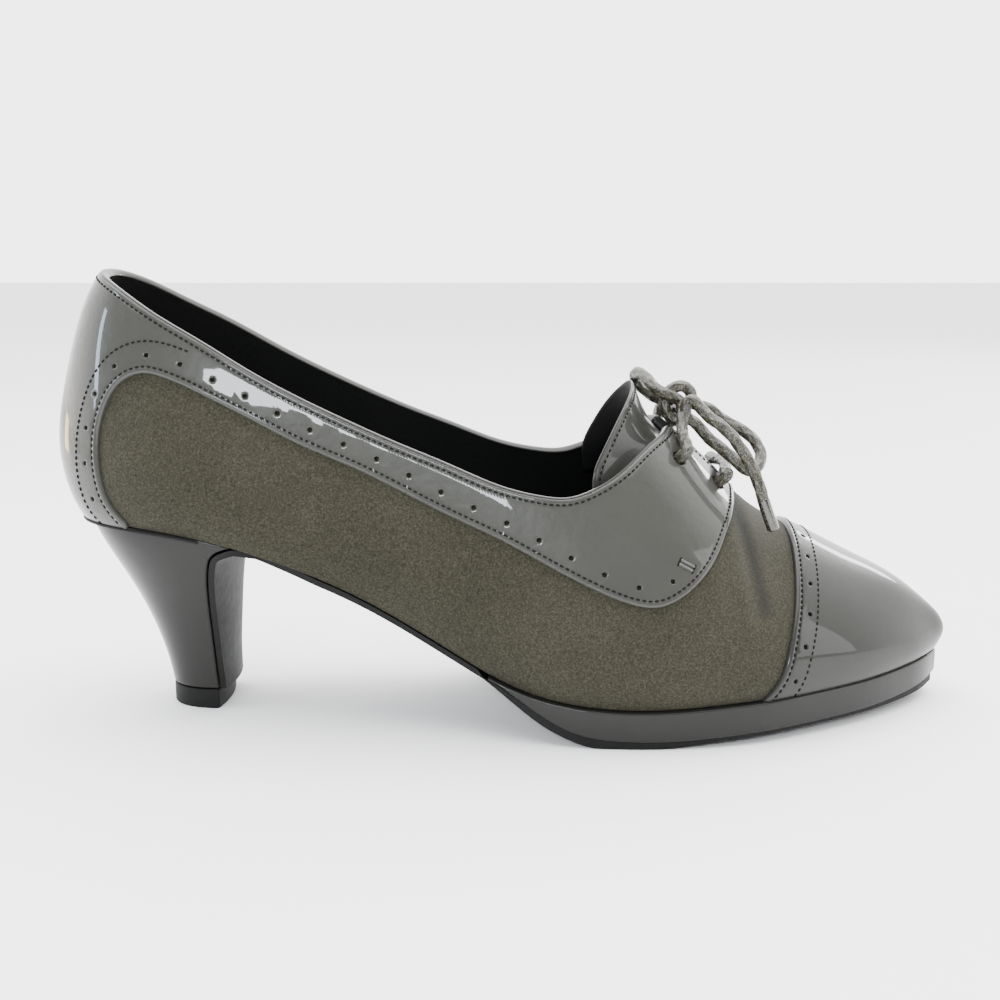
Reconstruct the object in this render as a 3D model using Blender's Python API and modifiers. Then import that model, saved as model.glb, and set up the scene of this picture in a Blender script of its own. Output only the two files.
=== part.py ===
"""A heeled oxford shoe for the right foot: suede upper, patent overlays, curved heel, low platform.

+X runs to the toe, +Y to the inner side of the foot and +Z up. The floor is at Z = 0.
The tables below are drawn in millimetres, and the driving sizes stretch them.
"""
import math

import bmesh
import bpy
import numpy as np

# Driving sizes, in metres
LAST_LENGTH = 0.2438
BALL_WIDTH = 0.0823
HEEL_HEIGHT = 0.0550
WALL = 0.0016
OVERLAY = 0.0010
GAP = 0.0003
TONGUE_THICKNESS = 0.0012
INSOLE_THICKNESS = 0.0020
FLAP_THICKNESS = 0.0016
TIP_HEIGHT = 0.0055
LACE = 0.0033
PLATFORM_MARGIN = 0.0019
OUTSOLE_MARGIN = 0.0010
WAIST_INSET = 0.0035
WAIST_THICKNESS = 0.0014
WAIST_START = 0.006
WAIST_END = 0.0032
WAIST_BLEND = 0.014

# One row for each leaning section of the last, from the heel seat to the toe. Each section is an
# arch that starts on the feather line, where upper and sole meet, and rises to the ridge.
# feather x, feather z, outer half width, inner half width, ridge x, ridge z, ridge y,
# squareness of the arch, swell of its sides
SECTIONS = (
    (10.6, 55.0, 0.0, 0.0, 10.6, 55.0, 0.0, 2.0, 0.0),
    (12.0, 55.0, 9.4, 9.4, 7.4, 61.5, 0.0, 2.0, 0.1),
    (16.8, 54.8, 17.0, 17.0, 4.8, 74.0, 0.0, 2.0, 0.9),
    (26.6, 54.0, 23.0, 22.8, 8.4, 94.5, 0.0, 2.2, 2.4),
    (44.0, 51.6, 27.0, 26.2, 19.6, 120.5, 0.0, 2.4, 3.4),
    (66.0, 45.3, 28.3, 25.2, 50.0, 129.0, 0.0, 2.7, 3.4),
    (90.0, 34.7, 29.0, 22.6, 88.0, 124.0, 0.0, 2.8, 4.0),
    (112.0, 22.3, 32.6, 23.6, 120.0, 114.0, 0.0, 2.6, 4.5),
    (130.0, 13.8, 37.5, 28.2, 142.0, 103.0, 0.0, 2.3, 4.2),
    (147.0, 10.6, 40.8, 34.0, 156.5, 90.5, 0.0, 2.1, 3.6),
    (163.0, 10.1, 41.5, 39.0, 168.0, 79.2, 0.0, 2.0, 3.0),
    (178.0, 10.7, 39.8, 40.6, 180.0, 67.0, 0.5, 2.0, 2.6),
    (193.0, 11.2, 35.6, 39.3, 193.0, 55.2, 1.0, 2.0, 2.4),
    (208.0, 11.5, 28.3, 34.7, 207.0, 47.5, 2.0, 2.1, 2.2),
    (222.0, 11.8, 20.0, 27.0, 221.0, 40.3, 2.6, 2.2, 2.0),
    (233.5, 12.4, 11.3, 18.3, 233.5, 33.8, 3.0, 2.2, 1.7),
    (241.4, 13.0, 3.8, 10.8, 243.5, 26.0, 3.1, 2.1, 1.2),
    (245.0, 13.1, -1.2, 7.0, 248.6, 18.6, 3.2, 2.0, 0.5),
    (246.0, 13.2, -3.2, 3.2, 246.0, 13.2, 3.2, 2.0, 0.0),
)
LEVEL_COLUMNS = (0, 1)

# The topline lies in a plane that tilts across the shoe about a line on its outer half
COLLAR_TILT = 0.055
COLLAR_HINGE = -0.39 * BALL_WIDTH

# Outlines seen from the outer side: x, z
TOPLINE = (
    (16.0, 118.2), (24.0, 114.4), (33.5, 108.9), (47.0, 101.6), (60.0, 94.1), (73.0, 87.4),
    (86.0, 81.4), (98.0, 76.3), (111.0, 71.2), (123.5, 66.3), (134.0, 63.9), (141.0, 63.5),
    (148.0, 65.6), (155.0, 69.4), (162.0, 74.1), (169.0, 77.0), (173.0, 80.0),
)
BAND_EDGE = (
    (28.4, 51.0), (26.0, 55.8), (22.8, 60.3), (20.6, 66.8), (20.1, 75.7), (22.2, 85.0),
    (26.4, 91.4), (32.0, 94.1), (38.0, 93.2), (48.0, 89.0), (60.0, 83.1), (73.0, 76.5),
    (86.0, 71.0), (98.0, 65.3), (111.0, 59.0), (123.5, 53.5), (136.0, 47.1), (148.0, 41.2),
    (156.0, 38.1), (163.5, 37.1), (169.0, 39.0), (174.2, 42.6), (178.2, 46.8), (181.3, 51.6),
    (184.6, 56.6), (187.0, 61.2), (189.5, 68.0),
)
CAP_EDGE = (
    (188.0, 7.0), (191.6, 11.8), (194.2, 15.0), (197.3, 22.4), (199.8, 31.4), (201.3, 40.1),
    (202.0, 47.6), (202.4, 56.0),
)
# Half width of the gap between the facings, seen from above: x, half width
FACING_GAP = ((160.0, 9.5), (168.0, 8.0), (176.0, 5.6), (182.0, 4.0), (192.0, 2.4))
THROAT_START = 140.0
THROAT_END = 179.0
THROAT_BASE = 40.0

# Undersides of the platform and of the outsole: x, z
PLATFORM_UNDER = (
    (121.0, 17.0), (126.0, 13.5), (131.0, 10.1), (137.0, 6.4), (144.0, 3.6), (154.0, 2.3),
    (168.0, 2.2), (185.0, 2.9), (205.0, 3.5), (225.0, 4.0), (238.0, 5.2), (249.0, 7.2),
)
OUTSOLE_UNDER = (
    (117.0, 18.0), (123.5, 13.2), (129.0, 9.0), (134.0, 5.5), (140.0, 2.4), (147.0, 0.2),
    (156.0, -0.2), (166.0, 0.1), (176.0, 1.0), (192.0, 2.0), (210.0, 2.5), (230.0, 2.7),
    (249.0, 3.8),
)
# The heel block: share of its height, back x, breast edge x, half width, bulge of the breast
HEEL_ROWS = (
    (0.00, 31.4, 45.8, 12.0, 1.6),
    (0.15, 30.0, 45.5, 13.2, 1.8),
    (0.33, 27.4, 45.3, 15.2, 2.4),
    (0.51, 23.8, 45.3, 18.0, 2.8),
    (0.69, 19.1, 45.7, 21.5, 2.8),
    (0.85, 14.5, 46.8, 24.6, 2.9),
    (0.93, 12.5, 48.8, 25.9, 2.7),
    (1.00, 11.0, 53.5, 26.8, 2.0),
)
HEEL_SQUARENESS = 2.3

# The tongue: share of the way from edge to middle, where its free edge lies along the last
TONGUE_TOP = (
    (0.0, 0.617), (0.3, 0.6125), (0.6, 0.600), (0.8, 0.589), (0.92, 0.585), (1.0, 0.590),
)
TONGUE_FRONT = 0.738
TONGUE_SIDE = (0.255, 0.160)
TONGUE_LIFT = 0.0046
# How far the lift runs down the tongue, at its middle and how much less at its sides
LIFT_REACH = (0.36, 0.26)
LIFT_CURVE = 1.5

# The lace: places of the eyelets on the last, how high it lies in shares of its thickness,
# then the route of each stretch in x, y, z
EYELETS = ((0.6699, 0.3593), (0.7154, 0.3952))
LACE_SEAT = 0.42
CROSSING_RISE = 0.8
BAR_RISE = 0.4
BAR_SEAT = 0.6
BAR_BOW = 0.006
BAR_ENDS = (0.12, 0.88)
CORD_STEP = 1.3 * LACE
CROSSING = (
    (172.2, -12.5, 76.0), (172.7, -6.0, 82.1), (172.5, 0.0, 83.6), (172.7, 6.0, 81.6),
    (171.8, 12.5, 76.0),
)
KNOT = (
    (175.8, -3.8, 80.2), (172.4, -3.6, 79.2), (169.3, -3.0, 80.7), (168.3, -2.4, 83.6),
    (169.4, -1.6, 86.8), (172.2, -0.9, 88.3), (175.4, 0.0, 86.8), (176.5, 0.8, 83.6),
    (175.6, 1.6, 80.2),
)
LEFT_LOOP = (
    (166.1, -3.1, 87.6), (164.2, -0.4, 89.6), (162.6, 3.6, 91.0), (161.2, 7.8, 90.8),
    (161.6, 9.8, 88.4), (164.0, 8.4, 86.2), (166.8, 5.6, 84.4),
)
RIGHT_LOOP = (
    (178.8, -6.6, 76.0), (180.6, -7.8, 74.3), (182.8, -9.2, 72.6), (185.5, -10.8, 70.4),
    (187.8, -11.8, 68.3), (190.7, -11.6, 66.6), (193.3, -9.2, 68.4), (194.0, -6.6, 71.0),
    (192.0, -3.6, 74.6), (188.2, -1.6, 77.2), (183.9, -0.2, 79.6), (180.2, 0.4, 82.2),
)
FRONT_END = (
    (174.4, -7.4, 85.2), (177.9, -10.2, 82.4), (180.9, -12.8, 80.0), (183.9, -15.0, 77.5),
    (186.7, -17.0, 73.9), (189.3, -18.8, 69.6), (191.5, -19.9, 64.1), (193.4, -20.3, 58.4),
    (195.6, -20.2, 52.6),
)
BACK_END = (
    (171.5, 9.6, 83.6), (169.8, 14.6, 81.6), (169.0, 19.2, 77.6), (169.0, 24.6, 73.0),
    (169.6, 30.2, 67.0), (170.6, 35.0, 60.6), (171.8, 38.8, 53.6), (172.8, 41.2, 47.0),
)

# How finely each form is divided
SECTION_LINES = 34
ARCH_STEPS = 24
TOPLINE_POINTS = 32
BAND_POINTS = 44
CAP_POINTS = 14
GAP_POINTS = 12
GAP_TURN_POINTS = 7
TONGUE_LINES = (13, 15)
HEEL_STEPS = 15
BREAST_STEPS = 4
BACK_STEPS = 20
WAIST_LINES = 10
FOREFOOT_LINES = 22
INSOLE_LINES = 26
CORD_SIDES = 2
INSOLE_HEEL = (0.0, 0.012, 0.03)
INSOLE_RUN = (0.06, 0.95)
INSOLE_TOE = (0.975, 0.99, 1.0)
FOREFOOT_TOE = (0.965, 0.978, 0.989, 0.996, 1.0)
EPSILON = 1e-4
MERGE = 1e-5

# Colour, roughness and coat of each piece
LOOKS = {
    "upper": ((0.13, 0.12, 0.10), 0.95, 0.0),
    "quarter_overlay": ((0.20, 0.20, 0.19), 0.18, 1.0),
    "toe_cap": ((0.20, 0.20, 0.19), 0.16, 1.0),
    "tongue": ((0.18, 0.18, 0.17), 0.22, 1.0),
    "insole": ((0.015, 0.015, 0.015), 0.75, 0.0),
    "platform": ((0.19, 0.19, 0.18), 0.20, 1.0),
    "outsole": ((0.014, 0.014, 0.014), 0.60, 0.0),
    "heel": ((0.20, 0.20, 0.19), 0.17, 1.0),
    "heel_tip": ((0.010, 0.010, 0.010), 0.50, 0.0),
    "lace_crossing": ((0.16, 0.15, 0.11), 0.50, 0.0),
    "lace_bar": ((0.16, 0.15, 0.11), 0.50, 0.0),
    "lace_knot": ((0.16, 0.15, 0.11), 0.52, 0.0),
    "lace_left_loop": ((0.16, 0.15, 0.11), 0.50, 0.0),
    "lace_right_loop": ((0.16, 0.15, 0.11), 0.50, 0.0),
    "lace_front_end": ((0.16, 0.15, 0.11), 0.48, 0.0),
    "lace_back_end": ((0.16, 0.15, 0.11), 0.48, 0.0),
}


def column(rows, index):
    return np.array([row[index] for row in rows], float)


ALONG = LAST_LENGTH / (column(SECTIONS, 4).max() - column(SECTIONS, 4).min())
ACROSS = BALL_WIDTH / (column(SECTIONS, 2)[10] + column(SECTIONS, 3)[11])
UP = HEEL_HEIGHT / column(SECTIONS, 1)[0]
SCALE = np.array([ALONG, ACROSS, UP])
BACK_HEIGHT = column(TOPLINE, 1)[0] * UP
FAR = 3 * BALL_WIDTH


def spline(knots, values, level_ends):
    """A cubic curve through the values, with level or free ends."""
    count = len(knots)
    step = np.diff(knots)
    matrix = np.zeros((count, count))
    right = np.zeros(count)
    slope = np.diff(values) / step
    for i in range(1, count - 1):
        matrix[i, i - 1:i + 2] = step[i - 1], 2 * (step[i - 1] + step[i]), step[i]
        right[i] = 6 * (slope[i] - slope[i - 1])
    if level_ends:
        matrix[0, :2] = 2 * step[0], step[0]
        right[0] = 6 * slope[0]
        matrix[-1, -2:] = step[-1], 2 * step[-1]
        right[-1] = -6 * slope[-1]
    else:
        matrix[0, 0] = matrix[-1, -1] = 1
    bend = np.linalg.solve(matrix, right)

    def at(place):
        place = np.asarray(place, float)
        i = np.clip(np.searchsorted(knots, place) - 1, 0, count - 2)
        ahead = place - knots[i]
        behind = knots[i + 1] - place
        curve = (bend[i] * behind ** 3 + bend[i + 1] * ahead ** 3) / (6 * step[i])
        low = (values[i] / step[i] - bend[i] * step[i] / 6) * behind
        high = (values[i + 1] / step[i] - bend[i + 1] * step[i] / 6) * ahead
        return curve + low + high

    return at


def side_curve(table):
    """z over x for a table of x and z, all in metres."""
    return spline(column(table, 0) * ALONG, column(table, 1) * UP, False)


def section_knots():
    """Places of the table's sections on the way from heel to toe, from 0 to 1."""
    feather = np.stack([column(SECTIONS, i) for i in (0, 1, 2, 3)], 1)
    ridge = np.stack([column(SECTIONS, i) for i in (4, 5)], 1)
    step = np.linalg.norm(np.diff(feather, axis=0), axis=1)
    step += np.linalg.norm(np.diff(ridge, axis=0), axis=1)
    knots = np.concatenate([[0.0], np.cumsum(step)])
    return knots / knots[-1]


KNOTS = section_knots()
CURVES = [spline(KNOTS, column(SECTIONS, i), i in LEVEL_COLUMNS) for i in range(9)]
# rise * (1 - rise) ** 3 is 27 / 256 at its largest
SWELL_PEAK = 256 / 27


def last(u, v):
    """A point of the last: u from heel to toe, v over the arch from outer to inner side."""
    u, v = np.broadcast_arrays(np.asarray(u, float), np.asarray(v, float))
    fx, fz, outer, inner, rx, rz, ry, square, swell = [curve(u) for curve in CURVES]
    reach = np.maximum(np.cos(math.pi / 2 * (1 - np.abs(1 - 2 * v))), 0)
    rise = np.sqrt(np.maximum(1 - reach ** square, 0))
    side = np.where(v < 0.5, -outer, inner)
    sign = np.where(v < 0.5, -1.0, 1.0)
    y = ry + (side - ry) * reach + sign * swell * SWELL_PEAK * rise * (1 - rise) ** 3
    return np.stack([fx + (rx - fx) * rise, y, fz + (rz - fz) * rise], -1) * SCALE


def skin(u, v, out):
    """A point that lies a distance out from the last."""
    du = last(np.minimum(u + EPSILON, 1), v) - last(np.maximum(u - EPSILON, 0), v)
    dv = last(u, v + EPSILON) - last(u, v - EPSILON)
    normal = np.cross(dv, du)
    normal /= np.linalg.norm(normal, axis=-1, keepdims=True)
    return last(u, v) - normal * np.asarray(out)[..., None]


def feather(u, side, margin):
    """The line where upper and sole meet, moved out in plan by a margin. side is -1 or 1."""
    def plan(at):
        half = CURVES[2](at) if side < 0 else CURVES[3](at)
        return np.stack([CURVES[0](at) * ALONG, side * half * ACROSS], -1)

    run = plan(np.minimum(u + EPSILON, 1)) - plan(np.maximum(u - EPSILON, 0))
    run /= np.linalg.norm(run, axis=-1, keepdims=True)
    out = np.stack([-side * run[..., 1], side * run[..., 0]], -1)
    spot = plan(u) + out * np.asarray(margin)[..., None]
    return np.concatenate([spot, (CURVES[1](u) * UP)[..., None]], -1)


def u_at(x):
    """Where along the shoe the feather line passes x."""
    u = np.linspace(0, 1, 2001)
    return np.interp(x, np.maximum.accumulate(CURVES[0](u) * ALONG), u)


def seat_height(x):
    return CURVES[1](u_at(x)) * UP


for item in list(bpy.data.objects):
    bpy.data.objects.remove(item, do_unlink=True)
SHOE = bpy.data.collections.new("heeled_oxford_shoe")
CUTTERS = bpy.data.collections.new("cutters")
bpy.context.scene.collection.children.link(SHOE)
bpy.context.scene.collection.children.link(CUTTERS)
ROOT = bpy.data.objects.new("shoe_root", None)
SHOE.objects.link(ROOT)


def material(name):
    colour, roughness, coat = LOOKS[name]
    made = bpy.data.materials.new(name + "_finish")
    made.use_nodes = True
    shader = made.node_tree.nodes["Principled BSDF"]
    shader.inputs["Base Color"].default_value = (*colour, 1.0)
    shader.inputs["Roughness"].default_value = roughness
    shader.inputs["Metallic"].default_value = 0.0
    shader.inputs["Coat Weight"].default_value = coat
    return made


def add_piece(name, shape):
    """A sub-part of the shoe, with its own material."""
    made = bpy.data.objects.new(name, shape)
    SHOE.objects.link(made)
    made.parent = ROOT
    shape.materials.clear()
    shape.materials.append(material(name))
    return made


def add_cutter(name, shape):
    made = bpy.data.objects.new(name, shape)
    CUTTERS.objects.link(made)
    made.parent = ROOT
    made.hide_render = True
    made.display_type = "WIRE"
    return made


def mesh_from_grid(name, grid, wrap=False):
    """A surface through rows of points, with points that coincide joined into one."""
    rows, across = grid.shape[:2]
    shape = bmesh.new()
    verts = [[shape.verts.new(point) for point in row] for row in grid]
    for i in range(rows - 1):
        for j in range(across if wrap else across - 1):
            k = (j + 1) % across
            shape.faces.new((verts[i][j], verts[i][k], verts[i + 1][k], verts[i + 1][j]))
    if wrap:
        shape.faces.new(list(reversed(verts[0])))
        shape.faces.new(verts[-1])
    bmesh.ops.remove_doubles(shape, verts=shape.verts, dist=MERGE)
    bmesh.ops.recalc_face_normals(shape, faces=shape.faces)
    if wrap and shape.calc_volume(signed=True) < 0:
        bmesh.ops.reverse_faces(shape, faces=shape.faces)
    made = bpy.data.meshes.new(name)
    shape.to_mesh(made)
    shape.free()
    made.shade_smooth()
    made.set_sharp_from_angle(angle=math.radians(35))
    return made


def prism(name, ring, push):
    shape = bmesh.new()
    face = shape.faces.new([shape.verts.new(point) for point in ring])
    pushed = bmesh.ops.extrude_face_region(shape, geom=[face])
    moved = [item for item in pushed["geom"] if isinstance(item, bmesh.types.BMVert)]
    bmesh.ops.translate(shape, verts=moved, vec=push)
    bmesh.ops.recalc_face_normals(shape, faces=shape.faces)
    made = bpy.data.meshes.new(name)
    shape.to_mesh(made)
    shape.free()
    return add_cutter(name, made)


def side_cutter(name, outline, tilt=0.0, hinge=0.0):
    """A prism across the shoe with an outline of x and z, tilted about a line along the shoe."""
    half = BALL_WIDTH
    ring = [(x, -half, z - tilt * (half + hinge)) for x, z in outline]
    return prism(name, ring, (0, 2 * half, 2 * half * tilt))


def plan_cutter(name, outline):
    """A prism that stands on the vamp and reaches past the topline, with an outline of x and y."""
    low = THROAT_BASE * UP
    return prism(name, [(x, y, low) for x, y in outline], (0, 0, BACK_HEIGHT + FAR - low))


def cut(item, cutter, operation="DIFFERENCE"):
    change = item.modifiers.new(cutter.name, "BOOLEAN")
    change.operation = operation
    change.object = cutter
    change.solver = "EXACT"


def thicken(item, thickness, offset):
    change = item.modifiers.new("wall", "SOLIDIFY")
    change.thickness = thickness
    change.offset = offset
    change.use_even_offset = True


def smooth_outline(table, count):
    """Points along a smooth curve through a table's rows, in metres."""
    points = np.array(table, float) * (ALONG, UP)
    knots = np.concatenate([[0.0], np.cumsum(np.linalg.norm(np.diff(points, axis=0), axis=1))])
    at = np.linspace(0, knots[-1], count)
    return np.stack([spline(knots, points[:, i], False)(at) for i in (0, 1)], 1)


def section_lines():
    lines = [np.linspace(a, b, max(1, round((b - a) * SECTION_LINES)), endpoint=False)
             for a, b in zip(KNOTS, KNOTS[1:])]
    return np.concatenate(lines + [[1.0]])


def last_surface(name):
    """The outside of the upper, closed over the collar and the throat, open underneath."""
    u, v = np.meshgrid(section_lines(), np.linspace(0, 1, ARCH_STEPS + 1), indexing="ij")
    return mesh_from_grid(name, last(u, v))



def feather_outline():
    """The feather line seen from the side, from toe to heel, drawn on past both ends."""
    u = np.linspace(1, 0, 60)
    x = CURVES[0](u) * ALONG
    z = CURVES[1](u) * UP
    return [(LAST_LENGTH + FAR, z[0]), *zip(x, z), (-FAR, z[-1])]


def above_feather():
    top = BACK_HEIGHT + FAR
    return [(-FAR, top), (LAST_LENGTH + FAR, top), *feather_outline()]


def collar_outline():
    line = smooth_outline(TOPLINE, TOPLINE_POINTS)
    top = BACK_HEIGHT + FAR
    return [*map(tuple, line), (line[-1][0], top), (-FAR, top), (-FAR, line[0][1])]


def band_outline():
    line = smooth_outline(BAND_EDGE, BAND_POINTS)
    top = BACK_HEIGHT + FAR
    return [*map(tuple, line), (line[-1][0], top), (-FAR, top), (-FAR, -FAR), (line[0][0], -FAR)]


def cap_outline():
    line = smooth_outline(CAP_EDGE, CAP_POINTS)
    end = LAST_LENGTH + FAR
    top = BACK_HEIGHT + FAR
    return [*map(tuple, line), (line[-1][0], top), (end, top), (end, -FAR), (line[0][0], -FAR)]


def gap_outline(end):
    """The gap between the facings from above, to a rounded end at x."""
    half = spline(column(FACING_GAP, 0) * ALONG, column(FACING_GAP, 1) * ACROSS, False)
    x = np.linspace(FACING_GAP[0][0] * ALONG, end, GAP_POINTS)
    outer = [(a, -b) for a, b in zip(x, half(x))]
    radius = half(end)
    turn = np.linspace(-math.pi / 2, math.pi / 2, GAP_TURN_POINTS + 2)[1:-1]
    tip = [(end + radius * math.cos(t), radius * math.sin(t)) for t in turn]
    inner = [(a, b) for a, b in zip(x[::-1], half(x[::-1]))]
    back = THROAT_START * ALONG
    return [(back, -half(x[0])), *outer, *tip, *inner, (back, half(x[0]))]


def make_upper(above, collar, throat):
    shell = add_piece("upper", last_surface("upper"))
    thicken(shell, WALL, -1)
    cut(shell, above, "INTERSECT")
    cut(shell, collar)
    cut(shell, throat)
    return shell


def make_overlay(name, above, outline):
    shell = add_piece(name, last_surface(name))
    thicken(shell, OVERLAY, 1 + 2 * GAP / OVERLAY)
    cut(shell, above, "INTERSECT")
    cut(shell, outline, "INTERSECT")
    return shell


def make_tongue():
    """A thin saddle under the facings, whose free end leans forward above the collar."""
    down, across = TONGUE_LINES
    share = np.linspace(-1, 1, across)
    top = spline(column(TONGUE_TOP, 0), column(TONGUE_TOP, 1), False)(np.abs(share))
    s, t = np.meshgrid(np.linspace(0, 1, down), share, indexing="ij")
    u = top[None, :] + (TONGUE_FRONT - top[None, :]) * s
    v = 0.5 + t * (TONGUE_SIDE[0] + (TONGUE_SIDE[1] - TONGUE_SIDE[0]) * s)
    under = -(WALL + 4 * GAP)
    fade = np.clip(1 - s / (LIFT_REACH[0] - LIFT_REACH[1] * t ** 2), 0, 1) ** LIFT_CURVE
    lift = TONGUE_LIFT * (1 - t ** 4) * fade
    made = add_piece("tongue", mesh_from_grid("tongue", skin(u, v, under + lift)))
    thicken(made, TONGUE_THICKNESS, -1)
    return made


def slab(name, u, margin, top, bottom, across):
    """A flat-sided layer that follows the feather line. top and bottom give z for x and u."""
    outer = feather(u, -1, margin)
    inner = feather(u, 1, margin)
    share = np.linspace(0, 1, across)[None, :, None]
    flat = outer[:, None] * (1 - share) + inner[:, None] * share
    lines = np.broadcast_to(u[:, None], flat.shape[:2])
    upper = flat.copy()
    lower = flat.copy()
    upper[..., 2] = top(flat[..., 0], lines)
    lower[..., 2] = bottom(flat[..., 0], lines)
    ring = np.concatenate([upper, lower[:, ::-1]], 1)
    return add_piece(name, mesh_from_grid(name, ring, wrap=True))


def feather_height(x, u):
    return CURVES[1](u) * UP


def platform_under(x, u):
    return np.minimum(side_curve(PLATFORM_UNDER)(x), feather_height(x, u) - 3 * GAP)


def insole_top(x, u):
    return feather_height(x, u) + INSOLE_THICKNESS


def make_insole():
    u = np.concatenate([INSOLE_HEEL, np.linspace(*INSOLE_RUN, INSOLE_LINES), INSOLE_TOE])
    return slab("insole", u, -(WALL + 2 * GAP), insole_top, feather_height, 3)


def forefoot_lines():
    start = u_at(PLATFORM_UNDER[0][0] * ALONG)
    return np.concatenate([np.linspace(start, INSOLE_RUN[1], FOREFOOT_LINES), FOREFOOT_TOE])


def platform_top(x, u):
    return feather_height(x, u) - GAP


def make_platform():
    return slab("platform", forefoot_lines(), PLATFORM_MARGIN, platform_top, platform_under,
                BREAST_STEPS + 1)


def heel_shape():
    """The rings of the heel block from its foot to the seat, each breast first, then the back."""
    foot = TIP_HEIGHT + GAP
    table = np.array(HEEL_ROWS)
    share = np.linspace(0, 1, HEEL_STEPS)
    back, edge, half, bulge = [spline(table[:, 0], table[:, i], False)(share) for i in (1, 2, 3, 4)]
    rings = []
    for i, s in enumerate(share):
        ring = heel_ring(back[i] * ALONG, edge[i] * ALONG, half[i] * ACROSS, bulge[i] * ALONG)
        top = seat_height(ring[:, 0]) - GAP
        rings.append(np.concatenate([ring, (foot + s * (top - foot))[:, None]], 1))
    return np.array(rings)


def make_outsole():
    """One thin sole from the toe to the seat that runs on down the breast of the heel."""
    breast = heel_shape()[:, :BREAST_STEPS + 1]
    climb = np.gradient(breast[:, BREAST_STEPS // 2], axis=0)
    climb /= np.linalg.norm(climb, axis=1, keepdims=True)
    rows = []
    for line, run in zip(breast, climb):
        out = np.array([run[2], 0, -run[0]])
        back = line + out * 2 * GAP
        front = back + out * FLAP_THICKNESS
        rows.append(np.concatenate([back, front[::-1]]))
    share = np.linspace(-1, 1, BREAST_STEPS + 1)
    start = HEEL_ROWS[-1][2] * ALONG + WAIST_START
    drop = PLATFORM_UNDER[0][0] * ALONG - WAIST_END
    waist = np.linspace(u_at(start), u_at(drop), WAIST_LINES)
    u = np.concatenate([waist, [u_at(drop + WAIST_END / 2)], forefoot_lines()])
    under = side_curve(OUTSOLE_UNDER)
    for line in u:
        x0 = CURVES[0](line) * ALONG
        step = np.clip((x0 - drop) / WAIST_BLEND, 0, 1)
        margin = OUTSOLE_MARGIN * step - WAIST_INSET * (1 - step)
        a = feather(np.array([line]), -1, margin)[0]
        b = feather(np.array([line]), 1, margin)[0]
        flat = a + (b - a) * (share[:, None] + 1) / 2
        top = flat.copy()
        low = flat.copy()
        z = feather_height(x0, line)
        if x0 > drop + EPSILON:
            top[:, 2] = platform_under(flat[:, 0], line) - GAP * (3 - 2 * step)
            low[:, 2] = np.maximum(under(flat[:, 0]), 0)
        else:
            top[:, 2] = z - GAP
            low[:, 2] = z - GAP - WAIST_THICKNESS
        rows.append(np.concatenate([top, low[::-1]]))
    return add_piece("outsole", mesh_from_grid("outsole", np.array(rows), wrap=True))


def heel_ring(back, edge, half, bulge):
    """One loop of the heel block in plan: the breast, then round the back."""
    share = np.linspace(-1, 1, BREAST_STEPS + 1)[:-1]
    front = np.stack([edge + bulge * (1 - share ** 2), share * half], 1)
    turn = np.linspace(0, math.pi, BACK_STEPS + 1)[:-1]
    sweep = np.abs(np.sin(turn)) ** (2 / HEEL_SQUARENESS)
    width = np.sign(np.cos(turn)) * np.abs(np.cos(turn)) ** (2 / HEEL_SQUARENESS)
    around = np.stack([edge - (edge - back) * sweep, half * width], 1)
    return np.concatenate([front, around])


def make_heel():
    return add_piece("heel", mesh_from_grid("heel", heel_shape(), wrap=True))


def make_heel_tip():
    row = HEEL_ROWS[0]
    ring = heel_ring(row[1] * ALONG, row[2] * ALONG, row[3] * ACROSS, row[4] * ALONG)
    low = np.concatenate([ring, np.zeros((len(ring), 1))], 1)
    high = low + np.array([0, 0, TIP_HEIGHT])
    return add_piece("heel_tip", mesh_from_grid("heel_tip", np.array([low, high]), wrap=True))


def even_points(points, step):
    """Points at even steps along a smooth curve through the route."""
    knots = np.concatenate([[0.0], np.cumsum(np.linalg.norm(np.diff(points, axis=0), axis=1))])
    at = np.linspace(0, knots[-1], max(4, round(knots[-1] / step) + 1))
    return np.stack([spline(knots, points[:, i], False)(at) for i in range(3)], 1)


def cord_curve(name, points):
    """A round cord along a route, with closed ends."""
    shape = bpy.data.curves.new(name, "CURVE")
    shape.dimensions = "3D"
    shape.bevel_depth = LACE / 2
    shape.bevel_resolution = CORD_SIDES
    shape.use_fill_caps = True
    line = shape.splines.new("POLY")
    places = even_points(points, CORD_STEP)
    line.points.add(len(places) - 1)
    for spot, place in zip(line.points, places):
        spot.co = (*place, 1.0)
    return shape


def make_solid_cord(name, points):
    """The same as one welded mesh."""
    curve = bpy.data.objects.new(name + "_route", cord_curve(name + "_route", points))
    SHOE.objects.link(curve)
    bpy.context.view_layer.update()
    seen = curve.evaluated_get(bpy.context.evaluated_depsgraph_get())
    shape = bpy.data.meshes.new_from_object(seen)
    edit = bmesh.new()
    edit.from_mesh(shape)
    bmesh.ops.remove_doubles(edit, verts=edit.verts, dist=MERGE)
    edit.to_mesh(shape)
    edit.free()
    bpy.data.objects.remove(curve, do_unlink=True)
    return add_piece(name, shape)


def over_facings(middle, eyelet, rise):
    """A stretch of lace that rises from an outer eyelet and ends at the inner one."""
    u, v = EYELETS[eyelet]
    low = OVERLAY + 2 * GAP + LACE_SEAT * LACE
    high = low + rise * LACE
    outer = [skin(np.array(u), np.array(v), np.array(out)) for out in (low, high)]
    inner = [skin(np.array(u), np.array(1 - v), np.array(out)) for out in (high, low)]
    return np.array([*outer, *middle, *inner])


def straight_over():
    """The middle of the bar, which lies across both facings and bows a little towards the toe."""
    u, v = EYELETS[1]
    share = np.linspace(*BAR_ENDS, 5)
    out = np.full(5, OVERLAY + 3 * GAP + BAR_SEAT * LACE)
    return skin(u + BAR_BOW * np.sin(math.pi * share), v + (1 - 2 * v) * share, out)


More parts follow.
